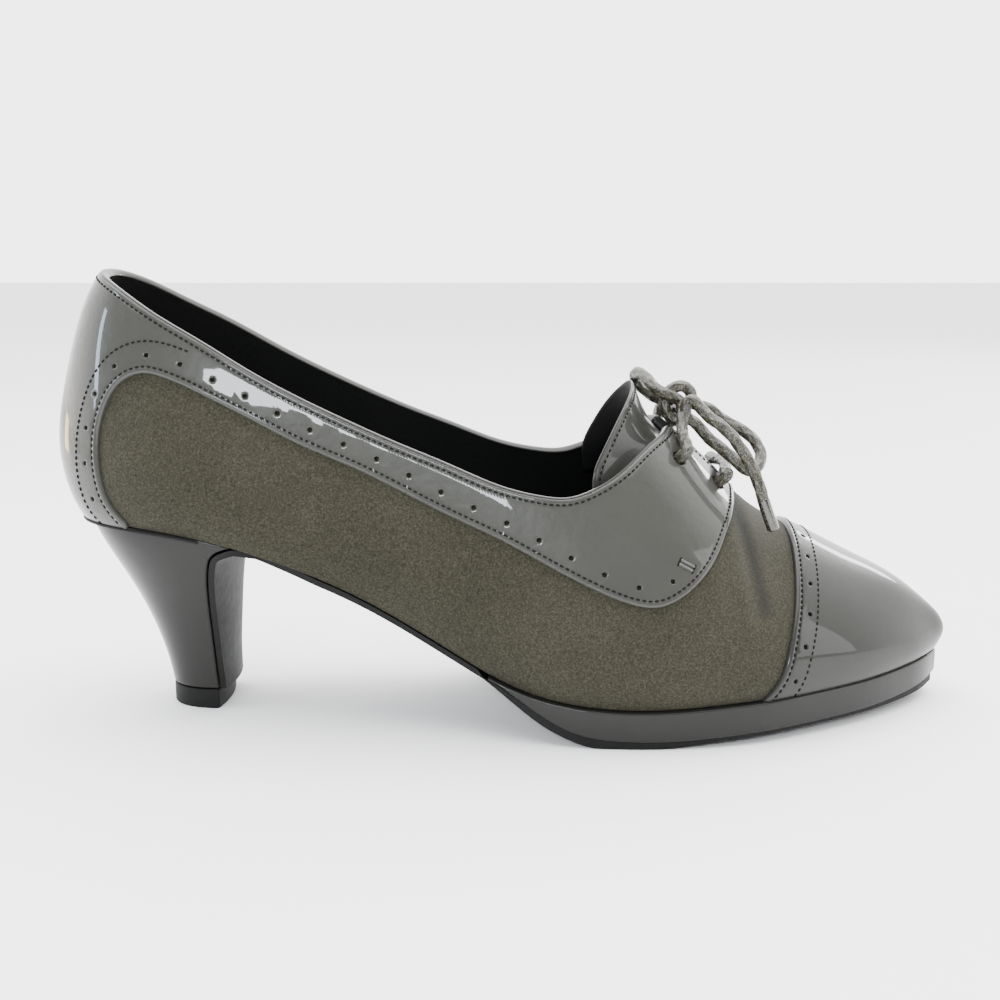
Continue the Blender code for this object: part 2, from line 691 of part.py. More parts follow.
def make_lace():
    make_solid_cord("lace_crossing", over_facings(np.array(CROSSING) * SCALE, 0, CROSSING_RISE))
    make_solid_cord("lace_bar", over_facings(straight_over(), 1, BAR_RISE))
    routes = {
        "lace_knot": KNOT,
        "lace_left_loop": LEFT_LOOP,
        "lace_right_loop": RIGHT_LOOP,
        "lace_front_end": FRONT_END,
        "lace_back_end": BACK_END,
    }
    for name, table in routes.items():
        add_piece(name, cord_curve(name, np.array(table) * SCALE))


def stand_over_origin():
    """Moves the shoe so that the middle of its box, the lace's free ends left out, is over the origin."""
    bpy.context.view_layer.update()
    graph = bpy.context.evaluated_depsgraph_get()
    solids = [item.evaluated_get(graph) for item in SHOE.objects if item.type == "MESH"]
    corners = np.array([corner[:] for item in solids for corner in item.bound_box])
    middle = (corners.min(0) + corners.max(0)) / 2
    ROOT.location = (-middle[0], -middle[1], 0)


def main():
    above = side_cutter("above_feather", above_feather())
    collar = side_cutter("collar", collar_outline(), COLLAR_TILT, COLLAR_HINGE)
    throat = plan_cutter("throat", gap_outline(THROAT_END * ALONG))
    make_upper(above, collar, throat)
    quarter = make_overlay("quarter_overlay", above, side_cutter("band", band_outline()))
    cut(quarter, collar)
    cut(quarter, plan_cutter("facing_gap", gap_outline(FACING_GAP[-1][0] * ALONG)))
    make_overlay("toe_cap", above, side_cutter("cap", cap_outline()))
    make_tongue()
    make_insole()
    make_platform()
    make_outsole()
    make_heel()
    make_heel_tip()
    make_lace()
    stand_over_origin()


main()
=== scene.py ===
"""A heeled oxford shoe for the right foot, dressed over its solids.

+X runs to the toe, +Y to the inner side of the foot and +Z up, in metres. Tables are in millimetres.
"""

import math

import bmesh
import bpy
import numpy as np
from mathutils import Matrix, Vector, geometry, kdtree


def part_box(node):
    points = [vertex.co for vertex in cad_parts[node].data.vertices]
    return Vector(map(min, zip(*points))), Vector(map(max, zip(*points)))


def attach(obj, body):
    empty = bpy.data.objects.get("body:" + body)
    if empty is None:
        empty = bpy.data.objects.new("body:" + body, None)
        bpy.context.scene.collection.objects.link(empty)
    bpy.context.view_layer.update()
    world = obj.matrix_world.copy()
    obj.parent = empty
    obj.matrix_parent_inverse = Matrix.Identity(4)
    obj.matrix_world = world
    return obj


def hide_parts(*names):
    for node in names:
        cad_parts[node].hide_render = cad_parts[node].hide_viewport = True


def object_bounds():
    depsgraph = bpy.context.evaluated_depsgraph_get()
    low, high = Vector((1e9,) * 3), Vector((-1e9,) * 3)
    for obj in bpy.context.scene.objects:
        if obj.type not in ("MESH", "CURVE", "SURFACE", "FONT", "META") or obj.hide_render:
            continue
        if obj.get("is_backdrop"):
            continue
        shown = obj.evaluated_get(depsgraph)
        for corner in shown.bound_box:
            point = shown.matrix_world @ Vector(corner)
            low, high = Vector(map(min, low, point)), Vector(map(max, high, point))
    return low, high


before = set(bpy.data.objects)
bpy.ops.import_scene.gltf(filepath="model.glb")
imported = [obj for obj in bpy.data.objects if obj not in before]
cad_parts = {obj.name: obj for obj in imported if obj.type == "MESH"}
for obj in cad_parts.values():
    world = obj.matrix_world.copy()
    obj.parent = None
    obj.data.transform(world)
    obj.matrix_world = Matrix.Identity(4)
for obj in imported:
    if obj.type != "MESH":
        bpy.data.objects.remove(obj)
cad_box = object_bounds()

# Camera
# A long lens a little above the shoe, square to its outer side, as in a shop picture.
TIP_BACK = 31.4
LENS, TILT, EYE = 49.18, 11.25, Vector((0.1235, -0.372, 0.1305))
tip_low, tip_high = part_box("heel_tip")
ORIGIN = np.array([tip_low.x - TIP_BACK / 1000, (tip_low.y + tip_high.y) / 2, 0.0])
camera_data = bpy.data.cameras.new("camera")
camera_data.sensor_width = 36.0
camera_data.lens = LENS
camera_data.clip_start = 0.01
camera = bpy.data.objects.new("camera", camera_data)
camera.location = Vector(ORIGIN) + EYE
camera.rotation_euler = (math.radians(90 - TILT), 0, 0)
bpy.context.scene.collection.objects.link(camera)
bpy.context.scene.camera = camera

# Light
# A white room that is grey behind the camera, a wide soft box overhead, weak ones in front and at
# the side, and four small ones that draw the streaks on the patent leather.
ROOM = ((0.34, 0.13), (0.56, 1.0))
ROOM_STRENGTH = 4.4
world = bpy.data.worlds.new("studio")
world.use_nodes = True
sky = world.node_tree.nodes
heading = sky.new("ShaderNodeTexCoord")
split = sky.new("ShaderNodeSeparateXYZ")
room = sky.new("ShaderNodeValToRGB")
for stop, (place, tone) in zip(room.color_ramp.elements, ROOM):
    stop.position = place
    stop.color = (tone, tone, tone, 1.0)
lift = sky.new("ShaderNodeMath")
lift.operation = "MULTIPLY_ADD"
lift.inputs[1].default_value = 0.5
lift.inputs[2].default_value = 0.5
join = world.node_tree.links.new
join(heading.outputs["Generated"], split.inputs[0])
join(split.outputs["Y"], lift.inputs[0])
join(lift.outputs[0], room.inputs[0])
join(room.outputs[0], sky["Background"].inputs["Color"])
sky["Background"].inputs["Strength"].default_value = ROOM_STRENGTH
bpy.context.scene.world = world


def soft_box(name, place, target, size, power, tint=(1.0, 1.0, 1.0)):
    data = bpy.data.lights.new(name, "AREA")
    data.shape = "RECTANGLE"
    data.size, data.size_y = size
    data.energy = power
    data.color = tint
    lamp = bpy.data.objects.new(name, data)
    lamp.location = place
    lamp.rotation_euler = (Vector(target) - Vector(place)).to_track_quat("-Z", "Y").to_euler()
    bpy.context.scene.collection.objects.link(lamp)


BLUE, PALE_BLUE, WARM = (0.68, 0.82, 1.0), (0.88, 0.95, 1.0), (1.0, 0.72, 0.40)
soft_box("overhead", (0.0, -0.05, 0.9), (0.0, 0.0, 0.0), (1.3, 0.9), 19.0)
soft_box("front", (0.10, -1.30, 0.50), (0.0, 0.0, 0.05), (1.4, 0.7), 1.0)
soft_box("side", (0.95, -0.35, 0.35), (0.0, 0.0, 0.05), (0.3, 0.6), 3.0)
soft_box("window", (-0.22, -0.95, 0.485), (-0.06, 0.0, 0.085), (0.26, 0.11), 6.0, PALE_BLUE)
soft_box("strip", (-0.93, -0.20, 0.34), (-0.107, -0.02, 0.10), (0.07, 0.36), 2.6, BLUE)
soft_box("rim", (0.79, 0.87, 0.48), (0.093, 0.0, 0.04), (0.40, 0.12), 5.0)
soft_box("lamp", (-0.70, 0.30, 0.02), (-0.11, 0.0, 0.07), (0.10, 0.10), 0.6, WARM)


# Floor
# A plain white board under the shoe, matt and wide enough to fill the picture from every side.
def grid_mesh(name, grid):
    """A smooth surface through rows of points."""
    rows, across = grid.shape[:2]
    index = np.arange(rows * across).reshape(rows, across)
    first, after = index[:, :-1], index[:, 1:]
    quads = np.stack([first[:-1], after[:-1], after[1:], first[1:]], -1).reshape(-1, 4)
    made = bpy.data.meshes.new(name)
    made.from_pydata(grid.reshape(-1, 3).tolist(), [], quads.tolist())
    made.shade_smooth()
    return made


def add_object(name, shape, finish):
    shape.materials.append(finish.material)
    made = bpy.data.objects.new(name, shape)
    bpy.context.scene.collection.objects.link(made)
    return made


class Value:
    """A number, colour or vector in a finish, so that shader maths reads as plain expressions."""

    def __init__(self, finish, socket):
        self.finish = finish
        self.socket = socket

    def math(self, operation, other, flip=False):
        values = (other, self) if flip else (self, other)
        return self.finish.add("Math", {"operation": operation}, dict(enumerate(values)))

    def __add__(self, other):
        return self.math("ADD", other)

    def __sub__(self, other):
        return self.math("SUBTRACT", other)

    def __rsub__(self, other):
        return self.math("SUBTRACT", other, flip=True)

    def __mul__(self, other):
        return self.math("MULTIPLY", other)

    __radd__ = __add__
    __rmul__ = __mul__


class Finish:
    """The nodes of one material."""

    def __init__(self, name):
        self.material = bpy.data.materials.new(name)
        self.material.use_nodes = True
        self.tree = self.material.node_tree
        self.surface = self.tree.nodes["Principled BSDF"]

    def add(self, kind, settings=None, inputs=None, output=0):
        node = self.tree.nodes.new("ShaderNode" + kind)
        for key, value in (settings or {}).items():
            if key == "stops":
                self.set_stops(node.color_ramp, value)
            else:
                setattr(node, key, value)
        for key, value in (inputs or {}).items():
            self.put(node.inputs[key], value)
        return Value(self, node.outputs[output])

    def set_stops(self, ramp, stops):
        while len(ramp.elements) < len(stops):
            ramp.elements.new(1.0)
        for element, (place, colour) in zip(ramp.elements, stops):
            element.position = place
            element.color = (*(colour if isinstance(colour, tuple) else (colour,) * 3), 1.0)

    def put(self, socket, value):
        if isinstance(value, Value):
            self.tree.links.new(value.socket, socket)
        elif isinstance(value, tuple) and len(value) == 3 and socket.type == "RGBA":
            socket.default_value = (*value, 1.0)
        else:
            socket.default_value = value

    def set(self, **values):
        for key, value in values.items():
            self.put(self.surface.inputs[key.replace("_", " ")], value)

    def noise(self, per_metre, detail, rough=0.55):
        place = self.add("TexCoord", output="Object")
        inputs = {"Vector": place, "Scale": float(per_metre), "Detail": detail, "Roughness": rough}
        return self.add("TexNoise", None, inputs)

    def ramp(self, value, stops):
        return self.add("ValToRGB", {"stops": stops}, {0: value})

    def blend(self, share, low, high):
        inputs = {0: share, 6: low, 7: high}
        return self.add("Mix", {"data_type": "RGBA"}, inputs, output=2)

    def bump(self, height, distance, strength):
        return self.add("Bump", None, {"Height": height, "Distance": distance, "Strength": strength})


FLOOR = 3.0
floor_finish = Finish("white board")
floor_finish.set(Base_Color=(0.96, 0.96, 0.96), Roughness=0.7)
ends = np.linspace(-FLOOR, FLOOR, 3)
floor_grid = np.stack([*np.meshgrid(ends, ends, indexing="ij"), np.zeros((3, 3))], -1)
add_object("floor", grid_mesh("floor", floor_grid[:, ::-1]), floor_finish)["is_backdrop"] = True

# The last
# The wooden form that the upper is pulled over: leaning sections from the heel seat to the toe,
# each an arch from the feather line, where upper and sole meet, to the ridge.
SECTIONS = (
    # feather x, feather z, outer half width, inner half width, ridge x, ridge z, ridge y,
    # squareness of the arch, swell of its sides
    (10.6, 55.0, 0.0, 0.0, 10.6, 55.0, 0.0, 2.0, 0.0),
    (12.0, 55.0, 9.4, 9.4, 7.4, 61.5, 0.0, 2.0, 0.1),
    (16.8, 54.8, 17.0, 17.0, 4.8, 74.0, 0.0, 2.0, 0.9),
    (26.6, 54.0, 23.0, 22.8, 8.4, 94.5, 0.0, 2.2, 2.4),
    (44.0, 51.6, 27.0, 26.2, 19.6, 120.5, 0.0, 2.4, 3.4),
    (66.0, 45.3, 28.3, 25.2, 50.0, 129.0, 0.0, 2.7, 3.4),
    (90.0, 34.7, 29.0, 22.6, 88.0, 124.0, 0.0, 2.8, 4.0),
    (112.0, 22.3, 32.6, 23.6, 120.0, 114.0, 0.0, 2.6, 4.5),
    (130.0, 13.8, 37.5, 28.2, 142.0, 103.0, 0.0, 2.3, 4.2),
    (147.0, 10.6, 40.8, 34.0, 156.5, 90.5, 0.0, 2.1, 3.6),
    (163.0, 10.1, 41.5, 39.0, 168.0, 79.2, 0.0, 2.0, 3.0),
    (178.0, 10.7, 39.8, 40.6, 180.0, 67.0, 0.5, 2.0, 2.6),
    (193.0, 11.2, 35.6, 39.3, 193.0, 55.2, 1.0, 2.0, 2.4),
    (208.0, 11.5, 28.3, 34.7, 207.0, 47.5, 2.0, 2.1, 2.2),
    (222.0, 11.8, 20.0, 27.0, 221.0, 40.3, 2.6, 2.2, 2.0),
    (233.5, 12.4, 11.3, 18.3, 233.5, 33.8, 3.0, 2.2, 1.7),
    (241.4, 13.0, 3.8, 10.8, 243.5, 26.0, 3.1, 2.1, 1.2),
    (245.0, 13.1, -1.2, 7.0, 248.6, 18.6, 3.2, 2.0, 0.5),
    (246.0, 13.2, -3.2, 3.2, 246.0, 13.2, 3.2, 2.0, 0.0),
)
LAST_LENGTH, BALL_WIDTH, HEEL_HEIGHT = 0.2438, 0.0823, 0.055
WALL, OVERLAY, GAP = 0.0016, 0.0010, 0.0003
EPSILON = 1e-4
MM = 0.001


def column(rows, index):
    return np.array([row[index] for row in rows], float)


BALL_OUTER, BALL_INNER = 10, 11
ALONG = LAST_LENGTH / np.ptp(column(SECTIONS, 4))
ACROSS = BALL_WIDTH / (column(SECTIONS, 2)[BALL_OUTER] + column(SECTIONS, 3)[BALL_INNER])
UP = HEEL_HEIGHT / column(SECTIONS, 1)[0]
SCALE = np.array([ALONG, ACROSS, UP])


def spline(knots, values, level_ends=False):
    """A cubic curve through the values, with level or free ends."""
    knots, values = np.asarray(knots, float), np.asarray(values, float)
    count = len(knots)
    step = np.diff(knots)
    slope = np.diff(values) / step
    matrix = np.zeros((count, count))
    right = np.zeros(count)
    for i in range(1, count - 1):
        matrix[i, i - 1:i + 2] = step[i - 1], 2 * (step[i - 1] + step[i]), step[i]
        right[i] = 6 * (slope[i] - slope[i - 1])
    matrix[0, 0] = matrix[-1, -1] = 1
    if level_ends:
        matrix[0, :2] = 2 * step[0], step[0]
        matrix[-1, -2:] = step[-1], 2 * step[-1]
        right[0] = 6 * slope[0]
        right[-1] = -6 * slope[-1]
    bend = np.linalg.solve(matrix, right)

    def at(place):
        place = np.asarray(place, float)
        i = np.clip(np.searchsorted(knots, place) - 1, 0, count - 2)
        ahead = place - knots[i]
        behind = knots[i + 1] - place
        low = (values[i] / step[i] - bend[i] * step[i] / 6) * behind
        high = (values[i + 1] / step[i] - bend[i + 1] * step[i] / 6) * ahead
        return (bend[i] * behind ** 3 + bend[i + 1] * ahead ** 3) / (6 * step[i]) + low + high

    return at


feather_table = np.stack([column(SECTIONS, i) for i in (0, 1, 2, 3)], 1)
ridge_table = np.stack([column(SECTIONS, i) for i in (4, 5)], 1)
steps = np.linalg.norm(np.diff(feather_table, axis=0), axis=1)
steps += np.linalg.norm(np.diff(ridge_table, axis=0), axis=1)
KNOTS = np.concatenate([[0.0], np.cumsum(steps)]) / steps.sum()
CURVES = [spline(KNOTS, column(SECTIONS, i), i < 2) for i in range(9)]
SWELL_PEAK = 256 / 27


def last(u, v):
    """A point of the last: u from heel to toe, v over the arch from outer to inner side."""
    u, v = np.broadcast_arrays(np.asarray(u, float), np.asarray(v, float))
    fx, fz, outer, inner, rx, rz, ry, square, swell = [curve(u) for curve in CURVES]
    reach = np.maximum(np.cos(math.pi / 2 * (1 - np.abs(1 - 2 * v))), 0)
    rise = np.sqrt(np.maximum(1 - reach ** square, 0))
    side = np.where(v < 0.5, -outer, inner)
    sign = np.where(v < 0.5, -1.0, 1.0)
    y = ry + (side - ry) * reach + sign * swell * SWELL_PEAK * rise * (1 - rise) ** 3
    return np.stack([fx + (rx - fx) * rise, y, fz + (rz - fz) * rise], -1) * SCALE + ORIGIN


def slopes(u, v):
    u0, u1 = np.maximum(u - EPSILON, 0), np.minimum(u + EPSILON, 1)
    v0, v1 = np.maximum(v - EPSILON, 0), np.minimum(v + EPSILON, 1)
    du = (last(u1, v) - last(u0, v)) / (u1 - u0)[..., None]
    dv = (last(u, v1) - last(u, v0)) / (v1 - v0)[..., None]
    return du, dv


def unit(vectors):
    return vectors / np.maximum(np.linalg.norm(vectors, axis=-1, keepdims=True), 1e-12)


def outward(u, v):
    du, dv = slopes(u, v)
    return unit(-np.cross(dv, du))


def skin(u, v, out):
    """A point that lies a distance out from the last."""
    u, v = np.broadcast_arrays(np.asarray(u, float), np.asarray(v, float))
    return last(u, v) + outward(u, v) * np.asarray(out)[..., None]


# Outlines of the panels
# The pattern pieces as they are cut: topline, wavy band edge, cap edge and the gap between the
# facings, drawn from the side or from above and laid onto the last.
TOPLINE = (
    (16.0, 118.2), (24.0, 114.4), (33.5, 108.9), (47.0, 101.6), (60.0, 94.1), (73.0, 87.4),
    (86.0, 81.4), (98.0, 76.3), (111.0, 71.2), (123.5, 66.3), (134.0, 63.9), (141.0, 63.5),
    (148.0, 65.6), (155.0, 69.4), (162.0, 74.1), (169.0, 77.0), (173.0, 80.0),
)
COLLAR_TILT, COLLAR_HINGE = 0.055, -0.39 * BALL_WIDTH
BAND_EDGE = (
    (28.4, 51.0), (26.0, 55.8), (22.8, 60.3), (20.6, 66.8), (20.1, 75.7), (22.2, 85.0),
    (26.4, 91.4), (32.0, 94.1), (38.0, 93.2), (48.0, 89.0), (60.0, 83.1), (73.0, 76.5),
    (86.0, 71.0), (98.0, 65.3), (111.0, 59.0), (123.5, 53.5), (136.0, 47.1), (148.0, 41.2),
    (156.0, 38.1), (163.5, 37.1), (169.0, 39.0), (174.2, 42.6), (178.2, 46.8), (181.3, 51.6),
    (184.6, 56.6), (187.0, 61.2),
)
CAP_EDGE = (
    (188.0, 7.0), (191.6, 11.8), (194.2, 15.0), (197.3, 22.4), (199.8, 31.4), (201.3, 40.1),
    (202.0, 47.6), (202.4, 56.0),
)
FACING_GAP = ((160.0, 9.5), (168.0, 8.0), (176.0, 5.6), (182.0, 4.0), (192.0, 2.4))
THROAT_END = 179.0
EDGE_STEP = 0.0008
CHART = np.array([330.0, 150.0])


def run_lengths(points):
    """How far along a run of points each of them lies."""
    return np.concatenate([[0.0], np.cumsum(np.linalg.norm(np.diff(points, axis=0), axis=1))])


def between(at, knots, rows):
    """What rows that belong to knots come to at the places in between."""
    return np.stack([np.interp(at, knots, rows[:, i]) for i in range(rows.shape[1])], 1)


def smooth_line(table, scale):
    """Points at even steps along a smooth curve through a table's rows."""
    points = np.array(table, float) * scale
    knots = run_lengths(points)
    at = np.linspace(0, knots[-1], max(4, round(knots[-1] / EDGE_STEP) + 1))
    return np.stack([spline(knots, points[:, i])(at) for i in range(points.shape[1])], 1)


ROUNDS, LONGEST_STEP, FLAT = 14, 0.02, 1e-7
guess_u, guess_v = np.meshgrid(np.linspace(0.004, 0.996, 250), np.linspace(0.0, 0.5, 110),
                               indexing="ij")


def on_last(target, axes, side):
    """Where on the last points lie, known by two of their coordinates and their side of the ridge."""
    mirror = guess_v if side < 0 else 1 - guess_v
    table = last(guess_u, mirror)[..., axes].reshape(-1, 2)
    near = np.array([((table - spot) ** 2).sum(1).argmin() for spot in target])
    u, v = guess_u.ravel()[near], mirror.ravel()[near]
    low, high = (0.0, 0.5) if side < 0 else (0.5, 1.0)
    for _ in range(ROUNDS):
        miss = (target - last(u, v)[:, axes]).T
        du, dv = (slope[:, axes].T for slope in slopes(u, v))
        det = du[0] * dv[1] - du[1] * dv[0]
        det = np.where(np.abs(det) < FLAT, FLAT, det)
        more_u = (miss[0] * dv[1] - miss[1] * dv[0]) / det
        more_v = (du[0] * miss[1] - du[1] * miss[0]) / det
        u = np.clip(u + np.clip(more_u, -LONGEST_STEP, LONGEST_STEP), 0, 1)
        v = np.clip(v + np.clip(more_v, -LONGEST_STEP, LONGEST_STEP), low, high)
    return np.stack([u, v], 1)


def from_side(line, side):
    """A line drawn from the side, in x and z, as it lies on the last."""
    return on_last(line + ORIGIN[[0, 2]], [0, 2], side)


def from_above(line, side):
    """A line drawn from above, in x and y, as it lies on the last."""
    return on_last(line + ORIGIN[:2], [0, 1], side)


def mirrored(v, side):
    """A place over the arch, given for the outer side, on the side that is asked for."""
    return v if side < 0 else 1 - v


def root(function, low, high):
    """Where a function that rises from low to high passes zero."""
    for _ in range(40):
        middle = (low + high) / 2
        above = function(middle) > 0
        low, high = np.where(above, low, middle), np.where(above, middle, high)
    return (low + high) / 2


top_curve = spline(column(TOPLINE, 0) * ALONG, column(TOPLINE, 1) * UP)
cap_curve = spline(column(CAP_EDGE, 1) * UP, column(CAP_EDGE, 0) * ALONG)
gap_curve = spline(column(FACING_GAP, 0) * ALONG, column(FACING_GAP, 1) * ACROSS)


def over_topline(u, v):
    x, y, z = np.moveaxis(last(u, v) - ORIGIN, -1, 0)
    edge = top_curve(np.clip(x, TOPLINE[0][0] * ALONG, TOPLINE[-1][0] * ALONG))
    return z - edge - COLLAR_TILT * (y - COLLAR_HINGE)


back_u = float(root(lambda u: over_topline(u, 0.5), np.array(0.02), np.array(0.3)))
COLLAR_END, COLLAR_POINTS = KNOTS[BALL_INNER], 330
FACING_START, EDGE_POINTS = 156.0, 60
SAME_SPOT = 1e-7


def topline(side):
    """The collar's edge from the middle of the back to the facings, on one side."""
    u = back_u + (COLLAR_END - back_u) * np.linspace(0, 1, COLLAR_POINTS) ** 2
    low = np.zeros(len(u))
    share = root(lambda v: over_topline(u, mirrored(v, side)), low, low + 0.5)
    share[0] = 0.5
    return np.stack([u, mirrored(share, side)], 1)


def gap_edge(side, end):
    """The facing's edge along the gap in front of the foot."""
    x = np.linspace(FACING_START * ALONG, end * ALONG, EDGE_POINTS)
    return from_above(np.stack([x, side * gap_curve(x)], 1), side)


def trim(path, other):
    """Cuts a path where it first crosses another. Gives the cut path, where the other is cut and the
    spot at which they cross."""
    a, b = path[:-1, None], path[1:, None]
    c, d = other[None, :-1], other[None, 1:]
    run, turn, away = b - a, d - c, c - a
    cross = run[..., 0] * turn[..., 1] - run[..., 1] * turn[..., 0]
    cross = np.where(np.abs(cross) < 1e-15, 1e-15, cross)
    t = (away[..., 0] * turn[..., 1] - away[..., 1] * turn[..., 0]) / cross
    s = (away[..., 0] * run[..., 1] - away[..., 1] * run[..., 0]) / cross
    i, j = np.argwhere((t >= 0) & (t <= 1) & (s >= 0) & (s <= 1))[0]
    spot = path[i] + t[i, j] * (path[i + 1] - path[i])
    return np.concatenate([path[:i + 1], [spot]]), j + 1, spot


def even_path(path, step=EDGE_STEP):
    """The same path on the last with points at even steps, in metres of its real length."""
    length = np.linalg.norm(np.diff(last(*path.T), axis=0), axis=1)
    apart = length > SAME_SPOT
    knots = np.concatenate([[0.0], np.cumsum(length[apart])])
    at = np.linspace(0, knots[-1], max(3, round(knots[-1] / step) + 1))
    return between(at, knots, path[np.concatenate([[True], apart])])


def feather_path(side, start, end):
    u = np.linspace(start, end, EDGE_POINTS)
    return np.stack([u, np.full(EDGE_POINTS, 0.0 if side < 0 else 1.0)], 1)


side_edges = {}
for side in (-1, 1):
    band = from_side(smooth_line(BAND_EDGE, (ALONG, UP)), side)
    band = band[np.abs(band[:, 1] - 0.5) < 0.499]
    gap = gap_edge(side, FACING_GAP[-1][0])
    collar, cut_at, corner = trim(topline(side), gap)
    band, end_at, front = trim(band, gap)
    facing = np.concatenate([[corner], gap[cut_at:end_at], [front]])
    side_edges[side] = {name: even_path(edge) for name, edge in
                        (("collar", collar), ("facing", facing), ("band", band))}


# Quarter overlay
# One patent piece that makes the counter, the wavy band and both facings. It is cut with its
# brogue holes, skived, folded at the topline and stitched to the suede.
def chart_step(path, aim):
    """Steps in space from places on the last, as steps of the chart."""
    du, dv = slopes(*path.T)
    uu, uv, vv = (du * du).sum(1), (du * dv).sum(1), (dv * dv).sum(1)
    au, av = (aim * du).sum(1), (aim * dv).sum(1)
    det = np.maximum(uu * vv - uv * uv, 1e-12)
    return np.stack([(au * vv - av * uv) / det, (av * uu - au * uv) / det], 1)


def inset(path, distance, turn):
    """The path moved sideways on the last, to its left for turn 1."""
    ahead, behind = np.roll(path, -1, 0), np.roll(path, 1, 0)
    ahead[-1], behind[0] = path[-1], path[0]
    run = last(*ahead.T) - last(*behind.T)
    return path + chart_step(path, unit(np.cross(outward(*path.T), run) * turn)) * distance


def turn_into(edge, loop):
    """1 or -1, for the side of an edge on which a panel lies."""
    near = len(edge) // 2
    spot = inset(edge[near - 1:near + 2], 0.6 * MM, 1)[1:2]
    return 1 if inside(spot, loop)[0] else -1


def inside(points, loop):
    """Whether points of the chart lie in a closed loop."""
    x, y = points[:, 0][:, None], points[:, 1][:, None]
    a, b = loop, np.roll(loop, -1, 0)
    spans = (a[:, 1] > y) != (b[:, 1] > y)
    run = np.where(b[:, 1] == a[:, 1], 1e-12, b[:, 1] - a[:, 1])
    return ((x < (b[:, 0] - a[:, 0]) * (y - a[:, 1]) / run + a[:, 0]) & spans).sum(1) % 2 == 1


def tree_of(points):
    tree = kdtree.KDTree(len(points))
    for i, spot in enumerate(points):
        tree.insert(spot, i)
    tree.balance()
    return tree


def nearest(chart, targets):
    """How far points of the chart are from the nearest of the targets, on the last."""
    tree = tree_of(targets)
    return np.array([tree.find(spot)[2] for spot in last(*chart.T)])


BLOCK = 4000


def in_panel(points, loops):
    """Whether points of the chart lie in the panel that loops bound, worked out block by block."""
    blocks = [points[i:i + BLOCK] for i in range(0, len(points), BLOCK)]
    return np.concatenate([np.sum([inside(some, loop) for loop in loops], 0) % 2 == 1 for some in blocks])


def ring(centre, radius, count):
    """A circle on the last round a place of the chart."""
    turn = np.linspace(0, 2 * math.pi, count, endpoint=False)
    spot = np.repeat(np.asarray(centre, float)[None], count, 0)
    east = unit(slopes(*spot.T)[0])
    north = np.cross(outward(*spot.T), east)
    aim = east * np.cos(turn)[:, None] + north * np.sin(turn)[:, None]
    return spot + chart_step(spot, aim) * radius


EDGE_RINGS = (0.12, 0.3, 0.55, 0.85, 1.15, 1.4, 1.6, 1.8, 2.05, 2.4, 2.9)
HOLE_RINGS, HOLE_EDGE, HOLE_SINK = (0.15, 0.35, 0.7), 0.3, 0.12
RING_POINTS, RIM_POINTS, RIM_STEP, CUT_STEP = 16, 48, 0.0004, 0.12
RING_KEEP, FIELD_CLEAR, HOLE_CLEAR, POINT_CLEAR = 0.93, 0.45, 0.0011, 0.0001
ROW_HEIGHT, FAR = 0.87, 10.0


def loose_points(loops, edges, holes, rings, grain, cut_points, pierced):
    """Places inside a panel: rows along its cut edges, rings round its holes and an even field."""
    rows = [inset(edge, distance * MM, turn) for edge, turn in edges for distance in rings]
    wanted = [np.full(len(row), distance * MM) for row, distance in zip(rows, rings * len(edges))]
    for centre, radius in holes:
        rows += [ring(centre, radius + more * MM, RING_POINTS) for more in HOLE_RINGS]
        wanted += [np.full(RING_POINTS, more * MM) for more in HOLE_RINGS]
    rows = np.concatenate(rows)
    clear = np.minimum(nearest(rows, cut_points), nearest(rows, pierced))
    rows = rows[clear > np.concatenate(wanted) * RING_KEEP]
    fixed = np.concatenate(loops)
    low, high = fixed.min(0) * CHART, fixed.max(0) * CHART
    across, up = np.meshgrid(np.arange(low[0], high[0], grain),
                             np.arange(low[1], high[1], grain * ROW_HEIGHT), indexing="ij")
    across[:, ::2] += grain / 2
    field = np.stack([across.ravel(), up.ravel()], 1) / CHART
    clear = nearest(field, cut_points) > (max(rings) + FIELD_CLEAR) * MM
    loose = np.concatenate([rows, field[clear & (nearest(field, pierced) > HOLE_CLEAR)]])
    loose = loose[(loose[:, 0] > 0.0005) & (loose[:, 0] < 0.9995)]
    loose = loose[in_panel(loose, loops)]
    return loose[nearest(loose, last(*fixed.T)) > POINT_CLEAR]


def panel_mesh(name, chart, faces, place, skirt, inward):
    """The mesh of a panel. With a skirt, its borders are drawn down to that height over the last."""
    shape = bmesh.new()
    verts = [shape.verts.new(spot) for spot in place]
    for face in faces:
        shape.faces.new([verts[i] for i in face])
    if skirt is not None:
        border = [edge for edge in shape.edges if edge.is_boundary]
        pushed = bmesh.ops.extrude_edge_only(shape, edges=border)["geom"]
        foot, near = skin(*chart.T, skirt), tree_of(place)
        for vert in [item for item in pushed if isinstance(item, bmesh.types.BMVert)]:
            vert.co = foot[near.find(vert.co)[1]]
    unused = [vert for vert in shape.verts if not vert.link_faces]
    bmesh.ops.delete(shape, geom=unused, context="VERTS")
    bmesh.ops.remove_doubles(shape, verts=shape.verts, dist=2e-6)
    shape.normal_update()
    shape.faces.ensure_lookup_table()
    probe = shape.faces[len(shape.faces) // 2]
    middle = chart[faces].mean(1)
    near = ((last(*middle.T) - np.array(probe.calc_center_median())) ** 2).sum(1).argmin()
    if (probe.normal.dot(Vector(outward(*middle.T)[near])) < 0) != inward:
        bmesh.ops.reverse_faces(shape, faces=shape.faces)
    made = bpy.data.meshes.new(name)
    shape.to_mesh(made)
    shape.free()
    made.shade_smooth()
    made.set_sharp_from_angle(angle=math.radians(60))
    return made


def mark(shape, name, values):
    """Stores a number for each point of a mesh, for its finish to read."""
    shape.attributes.new(name, "FLOAT", "POINT").data.foreach_set("value", values)


